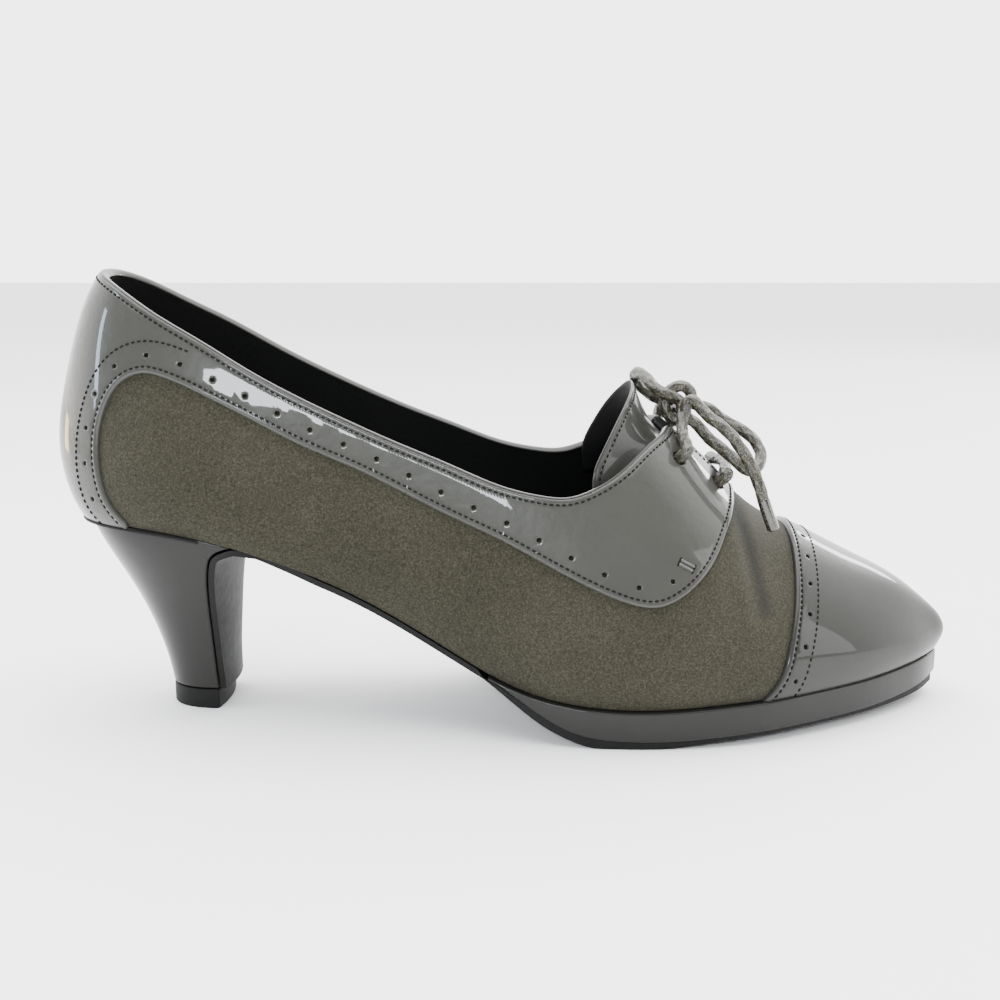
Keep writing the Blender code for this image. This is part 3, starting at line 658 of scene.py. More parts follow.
def dress(name, shape, finish):
    """A piece of the shoe with its finish."""
    item = add_object(name, shape, finish)
    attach(item, "root")
    return item


def panel(name, loops, edges, rise, finish, holes, grain=1.5, rings=EDGE_RINGS, skirt=None,
          inward=False):
    """A panel on the last. loops bound it in the chart, edges are its cut edges, and rise gives its
    height over the last from the distance to the nearest edge and the place in the chart."""
    edges = [(edge, turn_into(edge, loops[0])) for edge in edges]
    loops = loops + [ring(centre, radius, max(10, round(2 * math.pi * radius / RIM_STEP)))
                     for centre, radius in holes]
    cut = np.concatenate([even_path(edge, CUT_STEP * MM) for edge, _ in edges])
    rims = [ring(centre, radius, RIM_POINTS) for centre, radius in holes]
    cut_points, pierced = last(*cut.T), last(*np.concatenate(rims).T)
    loose = loose_points(loops, edges, holes, rings, grain, cut_points, pierced)
    chart = np.concatenate([*loops, loose])
    starts = np.cumsum([0] + [len(loop) for loop in loops]).tolist()
    borders = [(start + i, start + (i + 1) % (end - start))
               for start, end in zip(starts, starts[1:]) for i in range(end - start)]
    verts, _, faces, _, _, _ = geometry.delaunay_2d_cdt(
        [Vector(p) for p in chart * CHART], borders, [], 0, 1e-6)
    chart = np.array([v[:] for v in verts]) / CHART
    faces = np.array([face for face in faces if len(face) == 3])
    faces = faces[in_panel(chart[faces].mean(1), loops)]
    sunk = HOLE_SINK * MM * (1 - np.clip(nearest(chart, pierced) / (HOLE_EDGE * MM), 0, 1)) ** 2
    place = skin(*chart.T, rise(nearest(chart, cut_points), chart) - sunk)
    shape = panel_mesh(name, chart, faces, place, skirt, inward)
    item = dress(name, shape, finish)
    to_edge = tree_of(cut_points)
    mark(shape, "from_edge", [min(to_edge.find(vert.co)[2] / MM, FAR) for vert in shape.vertices])
    return item


EDGE_ROW = 1.6
EDGE_RADIUS, EDGE_SHARE, ROLL_SHARE = 0.55, 0.42, 0.58
GROOVE, GROOVE_HALF = 0.14, 0.3
PUFF, PUFF_AT, PUFF_HALF = 0.10, 0.9, 0.5
PANEL_BASE, SKIRT = 0.12, 0.00002


def rolled(height):
    """Height of a folded and stitched panel by the distance to its edge, all in millimetres."""
    def rise(distance, chart):
        d = distance / MM
        near = np.clip(d / EDGE_RADIUS, 0, 1)
        lift = height * (EDGE_SHARE + ROLL_SHARE * np.sqrt(1 - (1 - near) ** 2))
        sunk = GROOVE * np.exp(-((d - EDGE_ROW) / GROOVE_HALF) ** 2)
        puff = PUFF * np.exp(-((d - PUFF_AT) / PUFF_HALF) ** 2)
        return (PANEL_BASE + lift - sunk + puff) * MM
    return rise


WORN_EDGE = 0.9


def patent_finish(name, tone, gloss, ripple=0.3, crackle=0.04):
    """Grey patent leather: a dark body under a clear lacquer, a little cloudy and worn at its edges."""
    finish = Finish(name)
    cloud = finish.noise(38, 3.0)
    fine = finish.noise(900, 2.0)
    edge = finish.add("Attribute", {"attribute_name": "from_edge"}, output="Fac")
    worn = finish.add("MapRange", None, {0: edge, 1: 0.0, 2: WORN_EDGE, 3: 1.0, 4: 0.0})
    dark = tuple(tone * c for c in (0.86, 0.87, 0.78))
    light = tuple(tone * c for c in (1.14, 1.13, 1.00))
    body = finish.blend(cloud, dark, light)
    speck = finish.ramp(fine, ((0.0, 0.86), (0.45, 1.0)))
    body = finish.blend(1.0 - speck, body, (tone * 0.45,) * 3)
    finish.set(
        Base_Color=finish.blend(worn * 0.45, body, (tone * 0.45, tone * 0.44, tone * 0.42)),
        Roughness=0.28 + cloud * 0.12,
        Coat_Weight=gloss,
        Coat_Roughness=0.025,
        Coat_IOR=1.40,
        Specular_IOR_Level=0.10,
        Normal=finish.bump(finish.noise(170, 2.0) + finish.noise(460, 2.0) * crackle, 0.0003, ripple),
    )
    return finish


patent = patent_finish("grey patent", 0.024, 0.45)
# The quarter's copy of the grey patent, lighter in tone than the same leather elsewhere: painted light.
# Its stronger ripple is the leather's own creasing.
patent_painted_lighter = patent_finish("creased grey patent painted lighter", 0.042, 0.62, ripple=0.9, crackle=0.42)
# The heel and platform copy of the grey patent, darker in tone than the same leather elsewhere: painted
# shade.
patent_painted_darker = patent_finish("grey patent painted darker", 0.013, 0.36)
HOLE_STEP, HOLE_INSET, HOLE_RADIUS, HOLES_END = 9.3, 4.6, 0.00066, 167.5
EYELETS = ((0.6699, 0.3593), (0.7154, 0.3952))
EYELET_RADIUS, QUARTER_HEIGHT, POLE_POINTS = 0.0021, 1.15, 20
pole = np.stack([np.zeros(POLE_POINTS), np.linspace(1, 0, POLE_POINTS)], 1)
outer_edges, inner_edges = side_edges[-1], side_edges[1]
rim_path = np.concatenate([
    outer_edges["facing"][::-1], outer_edges["collar"][::-1][1:],
    inner_edges["collar"][1:], inner_edges["facing"][1:],
])
overlay_loop = np.concatenate([
    outer_edges["band"], rim_path[1:], inner_edges["band"][::-1][1:],
    feather_path(1, inner_edges["band"][0][0], 0.0)[1:], pole[1:-1],
    feather_path(-1, 0.0, outer_edges["band"][0][0])[:-1],
])
punched = []
for side in (-1, 1):
    band = side_edges[side]["band"]
    row = even_path(inset(band, HOLE_INSET * MM, turn_into(band, overlay_loop)), HOLE_STEP * MM)[1:-1]
    row = row[last(*row.T)[:, 0] - ORIGIN[0] < HOLES_END * MM]
    punched += [(tuple(spot), HOLE_RADIUS) for spot in row]
    punched += [((u, mirrored(v, side)), EYELET_RADIUS) for u, v in EYELETS]
cut_edges = [side_edges[side][name] for side in (-1, 1) for name in ("band", "facing", "collar")]
# The quarter takes the copy of the grey patent painted lighter: painted light.
quarter = panel("quarter_overlay_patent", [overlay_loop], cut_edges, rolled(QUARTER_HEIGHT),
                patent_painted_lighter, punched, skirt=SKIRT)
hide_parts("quarter_overlay")

# Toe cap
# A patent cap over the toe, stitched along its straight rear edge with two rows and a row of
# brogue holes between them.
CAP_HOLE_STEP, CAP_HOLE_INSET, CAP_HEIGHT, CAP_POINTS = 8.6, 4.4, 1.1, 220
over = np.linspace(0, 1, CAP_POINTS)


def cap_side(u):
    x, _, z = np.moveaxis(last(u, over) - ORIGIN, -1, 0)
    return x - cap_curve(np.clip(z, CAP_EDGE[0][1] * UP, CAP_EDGE[-1][1] * UP))


cap_u = root(cap_side, np.full(CAP_POINTS, 0.5), np.full(CAP_POINTS, 0.995))
cap_edge = even_path(np.stack([cap_u, over], 1))
cap_loop = np.concatenate([
    cap_edge, feather_path(1, cap_edge[-1][0], 1.0)[1:], pole[1:-1] + (1, 0),
    feather_path(-1, 1.0, cap_edge[0][0])[:-1],
])
cap_turn = turn_into(cap_edge, cap_loop)
cap_row = even_path(inset(cap_edge, CAP_HOLE_INSET * MM, cap_turn), CAP_HOLE_STEP * MM)[1:-1]
cap = panel("toe_cap_patent", [cap_loop], [cap_edge], rolled(CAP_HEIGHT), patent,
            [(tuple(spot), HOLE_RADIUS) for spot in cap_row], skirt=SKIRT)
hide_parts("toe_cap")

# Suede upper
# The goat suede that shows below the band and on the vamp, lasted over the form and left with a
# fine nap. It ends under the patent pieces, and the throat is cut out of it for the tongue.
TROUGHS = (
    # from x, z to x, z on the outer side, half width, depth
    (186.5, 57.0, 190.5, 33.0, 1.7, 0.34),
    (181.0, 44.0, 184.5, 30.0, 1.5, 0.16),
    (150.0, 30.0, 163.0, 21.0, 3.0, 0.16),
    (120.0, 33.0, 140.0, 20.0, 3.4, 0.14),
    (64.0, 61.0, 92.0, 52.0, 4.0, 0.12),
)


TROUGH_LIP = 0.4


def creases(chart):
    """Depth in millimetres of the soft troughs that wear has left, each with a low lip round it."""
    spot = (last(*chart.T) - ORIGIN) / SCALE
    depth = np.zeros(len(spot))
    for x0, z0, x1, z1, half, deep in TROUGHS:
        run = np.array([x1 - x0, z1 - z0])
        along = ((spot[:, 0] - x0) * run[0] + (spot[:, 2] - z0) * run[1]) / (run @ run)
        near = np.clip(along, 0, 1)
        off = np.hypot(spot[:, 0] - x0 - near * run[0], spot[:, 2] - z0 - near * run[1])
        depth += deep * np.exp(-(off / half) ** 2) * np.clip(1.15 - abs(along - 0.5), 0, 1)
        depth -= TROUGH_LIP * deep * np.exp(-((off - 2 * half) / half) ** 2)
    return depth


suede = Finish("warm grey suede")
nap = suede.noise(3400, 2.0, 0.7)
tuft = suede.noise(1800, 2.0, 0.65)
stroke = suede.noise(28, 3.0, 0.55)
shade = stroke * 0.16 + tuft * 0.44 + nap * 0.40
# A darker colour along the crease of the vamp, read from a point attribute: painted shade in the crease.
crease_shade_fac = suede.add("Attribute", {"attribute_name": "rubbed"}, output="Fac")
fibre = suede.ramp(shade, ((0.38, (0.0138, 0.0128, 0.0080)), (0.5, (0.0278, 0.0260, 0.0172)),
                           (0.62, (0.0510, 0.0482, 0.0340))))
suede.set(
    Base_Color=suede.blend(crease_shade_fac, fibre, (0.0150, 0.0155, 0.0140)),
    Roughness=0.95,
    Sheen_Weight=0.08,
    Sheen_Roughness=0.5,
    Specular_IOR_Level=0.12,
    Normal=suede.bump(nap * 0.7 + tuft * 0.6, 0.00022, 0.6),
)
throat = {}
for side in (-1, 1):
    radius = float(gap_curve(THROAT_END * ALONG))
    turn = np.linspace(math.pi / 2, 0, 12)
    tip = np.stack([THROAT_END * ALONG + radius * np.cos(turn), side * radius * np.sin(turn)], 1)
    edge = gap_edge(side, THROAT_END)
    collar, cut_at, _ = trim(topline(side), edge)
    throat[side] = even_path(np.concatenate([collar, edge[cut_at:], from_above(tip, side)[1:]]))
opening = np.concatenate([throat[-1], throat[1][::-1][1:-1]])
whole = np.concatenate([
    feather_path(-1, 0.0, 1.0), pole[::-1][1:-1] + (1, 0), feather_path(1, 1.0, 0.0), pole[1:-1],
])
eyelets = [((u, mirrored(v, side)), EYELET_RADIUS) for u, v in EYELETS for side in (-1, 1)]
upper = panel("suede_upper", [whole, opening], [throat[-1], throat[1]],
              lambda distance, chart: -creases(chart) * MM, suede, eyelets, grain=1.7, rings=(0.8,))
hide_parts("upper")
# Painted shade: a darker smear along the crease on the outer side of the vamp, marked on the suede's
# points.
CREASE_SHADE_LINE = np.array(((185.6, 60.0), (188.6, 51.0), (190.4, 42.0), (192.0, 34.0)))
CREASE_SHADE_HALF, CREASE_SHADE_SHARE = 1.7, 0.75
spots = (np.array([vert.co for vert in upper.data.vertices]) - ORIGIN) / SCALE
line = between(np.linspace(0, 3, 60), range(4), CREASE_SHADE_LINE)
off = np.hypot(spots[:, None, 0] - line[None, :, 0], spots[:, None, 2] - line[None, :, 1]).min(1)
rubbed = CREASE_SHADE_SHARE * np.exp(-(off / CREASE_SHADE_HALF) ** 2) * (spots[:, 1] < 0)
mark(upper.data, "rubbed", rubbed.tolist())

# Lining
# Black leather inside the whole upper, 1.6 mm under the face of the suede. It is cemented to the
# suede and turned in at the feather line.
lining = Finish("black lining")
lining_grain = lining.noise(700, 3.0)
lining.set(
    Base_Color=lining.blend(lining.noise(60, 3.0), (0.0035, 0.0035, 0.0036), (0.0070, 0.0068, 0.0066)),
    Roughness=0.60 + lining_grain * 0.15,
    Specular_IOR_Level=0.12,
    Normal=lining.bump(lining_grain, 0.0002, 0.5),
)
inner = panel("upper_lining", [whole, opening], [throat[-1], throat[1]],
              lambda distance, chart: np.full(len(chart), -WALL), lining, eyelets, grain=2.4,
              rings=(1.0,), inward=True)

# Folded edge
# The same grey patent, skived thin, turned over the raw edge of topline and facings and hammered
# down to a bright roll before the edge row is sewn.
FOLD_OUT, FOLD_IN, FOLD_RISE, FOLD_PAST = 1.16, -1.72, 0.55, 0.25
UNWORN = 6.0


def unworn(shape):
    """Marks a patent mesh as far from any cut edge."""
    mark(shape, "from_edge", [UNWORN] * len(shape.vertices))
    return shape


rim_normal, rim_spot = outward(*rim_path.T), last(*rim_path.T)
away = unit(np.cross(rim_normal, np.gradient(rim_spot, axis=0)))
away = away * (1 if away[len(away) // 2][2] > 0 else -1)
for _ in range(6):
    away = np.concatenate([away[:1], (away[:-2] + 2 * away[1:-1] + away[2:]) / 4, away[-1:]])
away = unit(away)
turn = np.linspace(-FOLD_PAST, math.pi + FOLD_PAST, 15)
out = ((FOLD_OUT + FOLD_IN) / 2 + (FOLD_OUT - FOLD_IN) / 2 * np.cos(turn)) * MM
aside = FOLD_RISE * np.sin(turn) * MM
roll = rim_spot[:, None] + rim_normal[:, None] * out[None, :, None] + away[:, None] * aside[None, :, None]
item = dress("topline_fold", unworn(grid_mesh("topline_fold", roll)), patent)

# Stitching
# Dark thread, about six stitches to the centimetre, sewn by machine along every patent edge, with
# a second row on the cap and round the counter.
THREAD, STITCH_STEP, STITCH_LENGTH, STITCH_SIDES = 0.00025, 1.60, 1.20, 6
STITCH_SHAPE = np.array((
    # share of its length, share of its girth, height in threads
    (-0.5, 0.25, -1.3), (-0.42, 0.8, -0.5), (-0.2, 1.0, 0.1),
    (0.2, 1.0, 0.1), (0.42, 0.8, -0.5), (0.5, 0.25, -1.3),
))


def stitch_row(path, out):
    """A row of stitches lying on the last."""
    places = even_path(path, STITCH_STEP * MM)
    return stitches(skin(*places.T, out * MM), outward(*places.T)[:-1])


def stitches(spot, normal):
    """Points of short rounded stitches between the needle holes at the given spots."""
    run = unit(np.diff(spot, axis=0))
    middle = (spot[:-1] + spot[1:]) / 2
    across = np.cross(normal, run)
    along = STITCH_SHAPE[:, 0] * STITCH_LENGTH * MM
    girth, sink = STITCH_SHAPE[:, 1] * THREAD, STITCH_SHAPE[:, 2] * THREAD
    turn = np.linspace(0, 2 * math.pi, STITCH_SIDES, endpoint=False)
    return (middle[:, None, None] + run[:, None, None] * along[None, :, None, None]
            + normal[:, None, None] * (sink[:, None] + girth[:, None] * np.sin(turn))[None, :, :, None]
            + across[:, None, None] * (girth[:, None] * np.cos(turn))[None, :, :, None])


def thread_mesh(name, rows):
    """Joins stitches, each a little closed bead, into one mesh."""
    beads = np.concatenate(rows)
    index = np.arange(beads[0].size // 3).reshape(beads.shape[1:3])
    after = np.roll(index, -1, 1)
    quads = np.stack([index[:-1], index[1:], after[1:], after[:-1]], -1).reshape(-1, 4)
    ends = np.stack([index[0], index[-1][::-1]])
    starts = index.size * np.arange(len(beads))[:, None, None]
    faces = (quads[None] + starts).reshape(-1, 4).tolist()
    caps = (ends[None] + starts).reshape(-1, STITCH_SIDES).tolist()
    made = bpy.data.meshes.new(name)
    made.from_pydata(beads.reshape(-1, 3).tolist(), [], faces + caps)
    made.shade_smooth()
    item = dress(name, made, thread)


thread = Finish("dark thread")
thread.set(
    Base_Color=thread.blend(thread.noise(1500, 2.0), (0.004, 0.004, 0.004), (0.010, 0.010, 0.009)),
    Roughness=0.8,
    Specular_IOR_Level=0.1,
)
ON_PATENT = 1.24
CAP_SECOND_ROW, COUNTER_ROW, COUNTER_RISE, COUNTER_END = 6.9, 8.4, 0.1, 45.5
rows = []
for side in (-1, 1):
    for name in ("band", "facing", "collar"):
        edge = side_edges[side][name]
        row = inset(edge, EDGE_ROW * MM, turn_into(edge, overlay_loop))[2:-2]
        rows.append(stitch_row(row, ON_PATENT))
    band = side_edges[side]["band"]
    counter = inset(band, COUNTER_ROW * MM, turn_into(band, overlay_loop))
    stop = np.argmax(last(*counter.T)[:, 0] - ORIGIN[0] > COUNTER_END * MM)
    rows.append(stitch_row(counter[4:stop], ON_PATENT + COUNTER_RISE))
thread_mesh("quarter_stitches", rows)
rows = [stitch_row(inset(cap_edge, distance * MM, cap_turn)[3:-3], ON_PATENT)
        for distance in (EDGE_ROW, CAP_SECOND_ROW)]
thread_mesh("cap_stitches", rows)

# Tongue
# Patent outside and lining inside, stitched under the vamp. Its free end stands a little proud of
# the collar and leans forward.
TONGUE_TOP = (
    (0.0, 0.617), (0.3, 0.6125), (0.6, 0.600), (0.8, 0.589), (0.92, 0.585), (1.0, 0.590),
)
TONGUE_FRONT, TONGUE_SIDE, TONGUE_LIFT = 0.738, (0.300, 0.160), 0.0046
LIFT_REACH, LIFT_CURVE = (0.36, 0.26), 1.5
TONGUE_THICKNESS = 0.0012
TONGUE_WIDE, TONGUE_LONG, TONGUE_ROUND = 26, 42, 0.6
SEAM_SINK, SEAM_AT, SEAM_HALF = 0.00010, 1.8, 0.35
tongue_top = spline(column(TONGUE_TOP, 0), column(TONGUE_TOP, 1))


def tongue_skin(s, t, sink):
    """Points of the tongue and how far they are from its edge in millimetres. s runs from its top
    edge down to 1, t across from -1 to 1, and sink is -1 on the patent side and 1 on the lining."""
    top = tongue_top(np.abs(t))
    u = top + (TONGUE_FRONT - top) * s
    v = 0.5 + t * (TONGUE_SIDE[0] + (TONGUE_SIDE[1] - TONGUE_SIDE[0]) * s)
    fade = np.clip(1 - s / (LIFT_REACH[0] - LIFT_REACH[1] * t ** 2), 0, 1) ** LIFT_CURVE
    lift = TONGUE_LIFT * (1 - t ** 4) * fade
    edge = np.minimum((1 - np.abs(t)) * TONGUE_WIDE, s * TONGUE_LONG)
    round_off = np.sqrt(1 - (1 - np.clip(edge / TONGUE_ROUND, 0, 1)) ** 2)
    half = TONGUE_THICKNESS / 2
    seam = SEAM_SINK * np.exp(-((edge - SEAM_AT) / SEAM_HALF) ** 2) if sink < 0 else 0
    out = -(WALL + 4 * GAP) - half - sink * half * round_off - seam
    return skin(u, v, out + lift), edge


down = 1 - np.cos(np.linspace(0, math.pi / 2, 70))
across = np.sin(np.linspace(-math.pi / 2, math.pi / 2, 91))
tongue_chart = np.meshgrid(down, across, indexing="ij")
for name, sink, finish, slot in (("tongue_patent", -1, patent, "patent"),
                                 ("tongue_lining", 1, lining, "lining")):
    grid, edge = tongue_skin(*tongue_chart, sink)
    shape = grid_mesh(name, grid[:, ::sink])
    mark(shape, "from_edge", edge[:, ::sink].ravel().tolist())
    item = dress(name, shape, finish)
    if sink < 0:
        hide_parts("tongue")
SEAM_DOWN, SEAM_TOP, SEAM_SIDE = (0.42, 0.06), 0.048, (0.935, 0.92)
leg, along_top = np.linspace(*SEAM_DOWN, 120), np.linspace(-SEAM_SIDE[1], SEAM_SIDE[1], 400)
down = np.concatenate([leg, np.full(400, SEAM_TOP), np.linspace(*SEAM_DOWN[::-1], 120)])
across = np.concatenate([np.full(120, -SEAM_SIDE[0]), along_top, np.full(120, SEAM_SIDE[0])])
path, below = (tongue_skin(down, across, sink)[0] for sink in (-1, 1))
length = run_lengths(path)
at = np.arange(0, length[-1], STITCH_STEP * MM)
normal = unit(between(at, length, path - below)[:-1])
thread_mesh("tongue_stitches", [stitches(between(at, length, path), normal)])

# Insole
# A sock of black leather, cemented over the insole board. The board closes the upper underneath and
# carries the foot.
INSOLE_THICKNESS = 0.0020


def feather(u, side, margin):
    """The line where upper and sole meet, moved out in plan by a margin. side is -1 or 1."""
    def plan(at):
        half = CURVES[2](at) if side < 0 else CURVES[3](at)
        return np.stack([CURVES[0](at) * ALONG, side * half * ACROSS], -1)

    run = unit(plan(np.minimum(u + EPSILON, 1)) - plan(np.maximum(u - EPSILON, 0)))
    out = np.stack([-side * run[..., 1], side * run[..., 0]], -1)
    spot = plan(u) + out * np.asarray(margin)[..., None]
    return np.concatenate([spot, (CURVES[1](u) * UP)[..., None]], -1)


LAYER_POINTS = 9


def layer(lines, margin, top, bottom, corner):
    """A layer that follows the feather line, with rounded corners. top and bottom give z for x and u."""
    turn = np.linspace(0, math.pi / 2, 5)
    edge = [(corner * (1 - math.sin(a)), corner * (1 - math.cos(a)), top) for a in turn]
    edge += [(corner * (1 - math.cos(a)), -corner * (1 - math.sin(a)), bottom) for a in turn]
    sides = {side: [feather(lines, side, margin - back) for back, _, _ in edge] for side in (-1, 1)}
    for side in (-1, 1):
        for spot, (_, drop, level) in zip(sides[side], edge):
            spot[:, 2] = level(spot[:, 0], lines) - drop

    def between_sides(start, end, level):
        for share in np.linspace(0, 1, LAYER_POINTS)[1:-1]:
            spot = start * (1 - share) + end * share
            spot[:, 2] = level(spot[:, 0], lines)
            yield spot

    outer, inner = sides[-1], sides[1]
    rings = [*outer[::-1], *between_sides(outer[0], inner[0], top),
             *inner, *between_sides(inner[-1], outer[-1], bottom)]
    return np.stack(rings, 1) + ORIGIN


SHARP = math.radians(42)


def closed_mesh(name, grid):
    """A skin round rings of points, with its ends closed and its faces turned out."""
    shape = bmesh.new()
    verts = [[shape.verts.new(spot) for spot in row] for row in grid]
    across = grid.shape[1]
    for low, high in zip(verts, verts[1:]):
        for j in range(across):
            k = (j + 1) % across
            shape.faces.new((low[j], low[k], high[k], high[j]))
    shape.faces.new(verts[0][::-1])
    shape.faces.new(verts[-1])
    bmesh.ops.remove_doubles(shape, verts=shape.verts, dist=5e-6)
    bmesh.ops.recalc_face_normals(shape, faces=shape.faces)
    if shape.calc_volume(signed=True) < 0:
        bmesh.ops.reverse_faces(shape, faces=shape.faces)
    made = bpy.data.meshes.new(name)
    shape.to_mesh(made)
    shape.free()
    made.shade_smooth()
    made.set_sharp_from_angle(angle=SHARP)
    return made


def feather_height(x, u):
    """The height of the feather line. Every level is given x and u, and this one needs only u."""
    return CURVES[1](u) * UP


def insole_top(x, u):
    return feather_height(x, u) + INSOLE_THICKNESS


insole_lines = np.concatenate([np.linspace(0, 0.06, 14)[:-1], np.linspace(0.06, 0.94, 90)[:-1],
                               np.linspace(0.94, 1, 14)])
sock = closed_mesh("sock_lining", layer(insole_lines, -WALL / 2, insole_top, feather_height, 0.0006))
item = dress("sock_lining", sock, lining)
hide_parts("insole")

# Platform
# A low cork platform under the forefoot, wrapped in the same patent before the outsole is laid. It
# thins out to nothing at the waist.
PLATFORM_MARGIN = 0.0019
PLATFORM_UNDER = (
    (121.0, 17.0), (126.0, 13.5), (131.0, 10.1), (137.0, 6.4), (144.0, 3.6), (154.0, 2.3),
    (168.0, 2.2), (185.0, 2.9), (205.0, 3.5), (225.0, 4.0), (238.0, 5.2), (249.0, 7.2),
)
platform_curve = spline(column(PLATFORM_UNDER, 0) * ALONG, column(PLATFORM_UNDER, 1) * UP)


def u_at(x):
    u = np.linspace(0, 1, 2001)
    return np.interp(x, np.maximum.accumulate(CURVES[0](u) * ALONG), u)


def platform_under(x, u):
    return np.minimum(platform_curve(x), feather_height(x, u) - 3 * GAP)


def platform_top(x, u):
    return feather_height(x, u) - GAP


fore_start = u_at(PLATFORM_UNDER[0][0] * ALONG)
fore_lines = np.concatenate([np.linspace(fore_start, 0.95, 90)[:-1], np.linspace(0.95, 1, 30)])
wedge = layer(fore_lines, PLATFORM_MARGIN, platform_top, platform_under, 0.0004)
# The platform's patent is the copy painted darker: painted shade.
item = dress("platform_wrap", unworn(closed_mesh("platform_wrap", wedge)), patent_painted_darker)
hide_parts("platform")

# Heel
# A moulded heel covered in patent, curved in at the back and nailed on from inside the shoe. Its
# breast swells a little towards the toe under the flap of the sole.
TIP_HEIGHT = 0.0055
HEEL_ROWS = (
    # share of its height, back x, breast edge x, half width, bulge of the breast
    (0.00, 31.4, 45.8, 12.0, 1.6),
    (0.15, 30.0, 45.5, 13.2, 1.8),
    (0.33, 27.4, 45.3, 15.2, 2.4),
    (0.51, 23.8, 45.3, 18.0, 2.8),
    (0.69, 19.1, 45.7, 21.5, 2.8),
    (0.85, 14.5, 46.8, 24.6, 2.9),
    (0.93, 12.5, 48.8, 25.9, 2.7),
    (1.00, 11.0, 53.5, 26.8, 2.0),
)
HEEL_SQUARENESS = 2.3
HEEL_COUNTS = (24, 72)


def heel_ring(back, edge, half, bulge, breast, round_back):
    """One loop of the heel in plan: the breast, then round the back. The last two are counts."""
    back, edge, half, bulge = back * ALONG, edge * ALONG, half * ACROSS, bulge * ALONG
    share = np.linspace(-1, 1, breast + 1)[:-1]
    front = np.stack([edge + bulge * (1 - share ** 2), share * half], 1)
    turn = np.linspace(0, math.pi, round_back + 1)[:-1]
    sweep = np.abs(np.sin(turn)) ** (2 / HEEL_SQUARENESS)
    width = np.sign(np.cos(turn)) * np.abs(np.cos(turn)) ** (2 / HEEL_SQUARENESS)
    return np.concatenate([front, np.stack([edge - (edge - back) * sweep, half * width], 1)])


def heel_shape(steps, breast, round_back):
    """Loops of the heel from its tip to the seat."""
    foot = TIP_HEIGHT + GAP
    share = np.linspace(0, 1, steps)
    columns = [spline(column(HEEL_ROWS, 0), column(HEEL_ROWS, i))(share) for i in (1, 2, 3, 4)]
    rings = []
    for s, *row in zip(share, *columns):
        loop = heel_ring(*row, breast, round_back)
        top = feather_height(0, u_at(loop[:, 0])) - GAP
        rings.append(np.concatenate([loop, (foot + s * (top - foot))[:, None]], 1))
    return np.array(rings)


def soften(item, width):
    """Rounds the sharp edges of a solid."""
    bevel = item.modifiers.new("edges", "BEVEL")
    bevel.width = width
    bevel.segments = 3
    bevel.limit_method = "ANGLE"
    bevel.angle_limit = SHARP
    bevel.harden_normals = False


heel_block = closed_mesh("heel_cover", heel_shape(64, *HEEL_COUNTS) + ORIGIN)
# The heel's patent is the copy painted darker: painted shade.
item = dress("heel_cover", unworn(heel_block), patent_painted_darker)
soften(item, 0.0005)
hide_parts("heel")

# Heel tip
# A black rubber top piece, nailed under the heel and trimmed flush. It takes the wear at the back
# of the shoe.
rubber = Finish("black rubber")
rubber_grain = rubber.noise(420, 3.0)
rubber.set(
    Base_Color=rubber.blend(rubber_grain, (0.0030, 0.0030, 0.0030), (0.0100, 0.0097, 0.0093)),
    Roughness=0.50 + rubber_grain * 0.2,
    Specular_IOR_Level=0.15,
    Normal=rubber.bump(rubber_grain, 0.0002, 0.4),
)
loop = heel_ring(*HEEL_ROWS[0][1:], *HEEL_COUNTS)
levels = [np.concatenate([loop, np.full((len(loop), 1), z)], 1) for z in np.linspace(0, TIP_HEIGHT, 5)]
item = dress("top_piece", closed_mesh("top_piece", np.array(levels) + ORIGIN), rubber)
soften(item, 0.0004)
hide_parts("heel_tip")

# Outsole
# One thin black sole from the toe to the seat. It narrows at the waist and runs on down the breast
# of the heel as a flap.
FLAP_THICKNESS, OUTSOLE_MARGIN, WAIST_THICKNESS = 0.0016, 0.0010, 0.0016
SEAT_INSET, WAIST_PROUD, SEAT_BLEND = 0.0035, 0.0005, 0.016
WAIST_START, WAIST_END, WAIST_BLEND = 0.006, 0.0032, 0.014
OUTSOLE_UNDER = (
    (117.0, 18.0), (123.5, 13.2), (129.0, 9.0), (134.0, 5.5), (140.0, 2.4), (147.0, 0.2),
    (156.0, -0.2), (166.0, 0.1), (176.0, 1.0), (192.0, 2.0), (210.0, 2.5), (230.0, 2.7),
    (249.0, 3.8),
)
BREAST = 16
under_curve = spline(column(OUTSOLE_UNDER, 0) * ALONG, column(OUTSOLE_UNDER, 1) * UP)
breast_rows = heel_shape(48, BREAST, 8)[:, :BREAST + 1]
climb = unit(np.gradient(breast_rows[:, BREAST // 2], axis=0))
sole_rows = []
for line, run in zip(breast_rows, climb):
    out = np.array([run[2], 0, -run[0]])
    back = line + out * 2 * GAP
    sole_rows.append(np.concatenate([back, (back + out * FLAP_THICKNESS)[::-1]]))
drop = PLATFORM_UNDER[0][0] * ALONG - WAIST_END
waist_lines = np.linspace(u_at(HEEL_ROWS[-1][2] * ALONG + WAIST_START), u_at(drop), 40)
share = np.linspace(0, 1, BREAST + 1)[:, None]
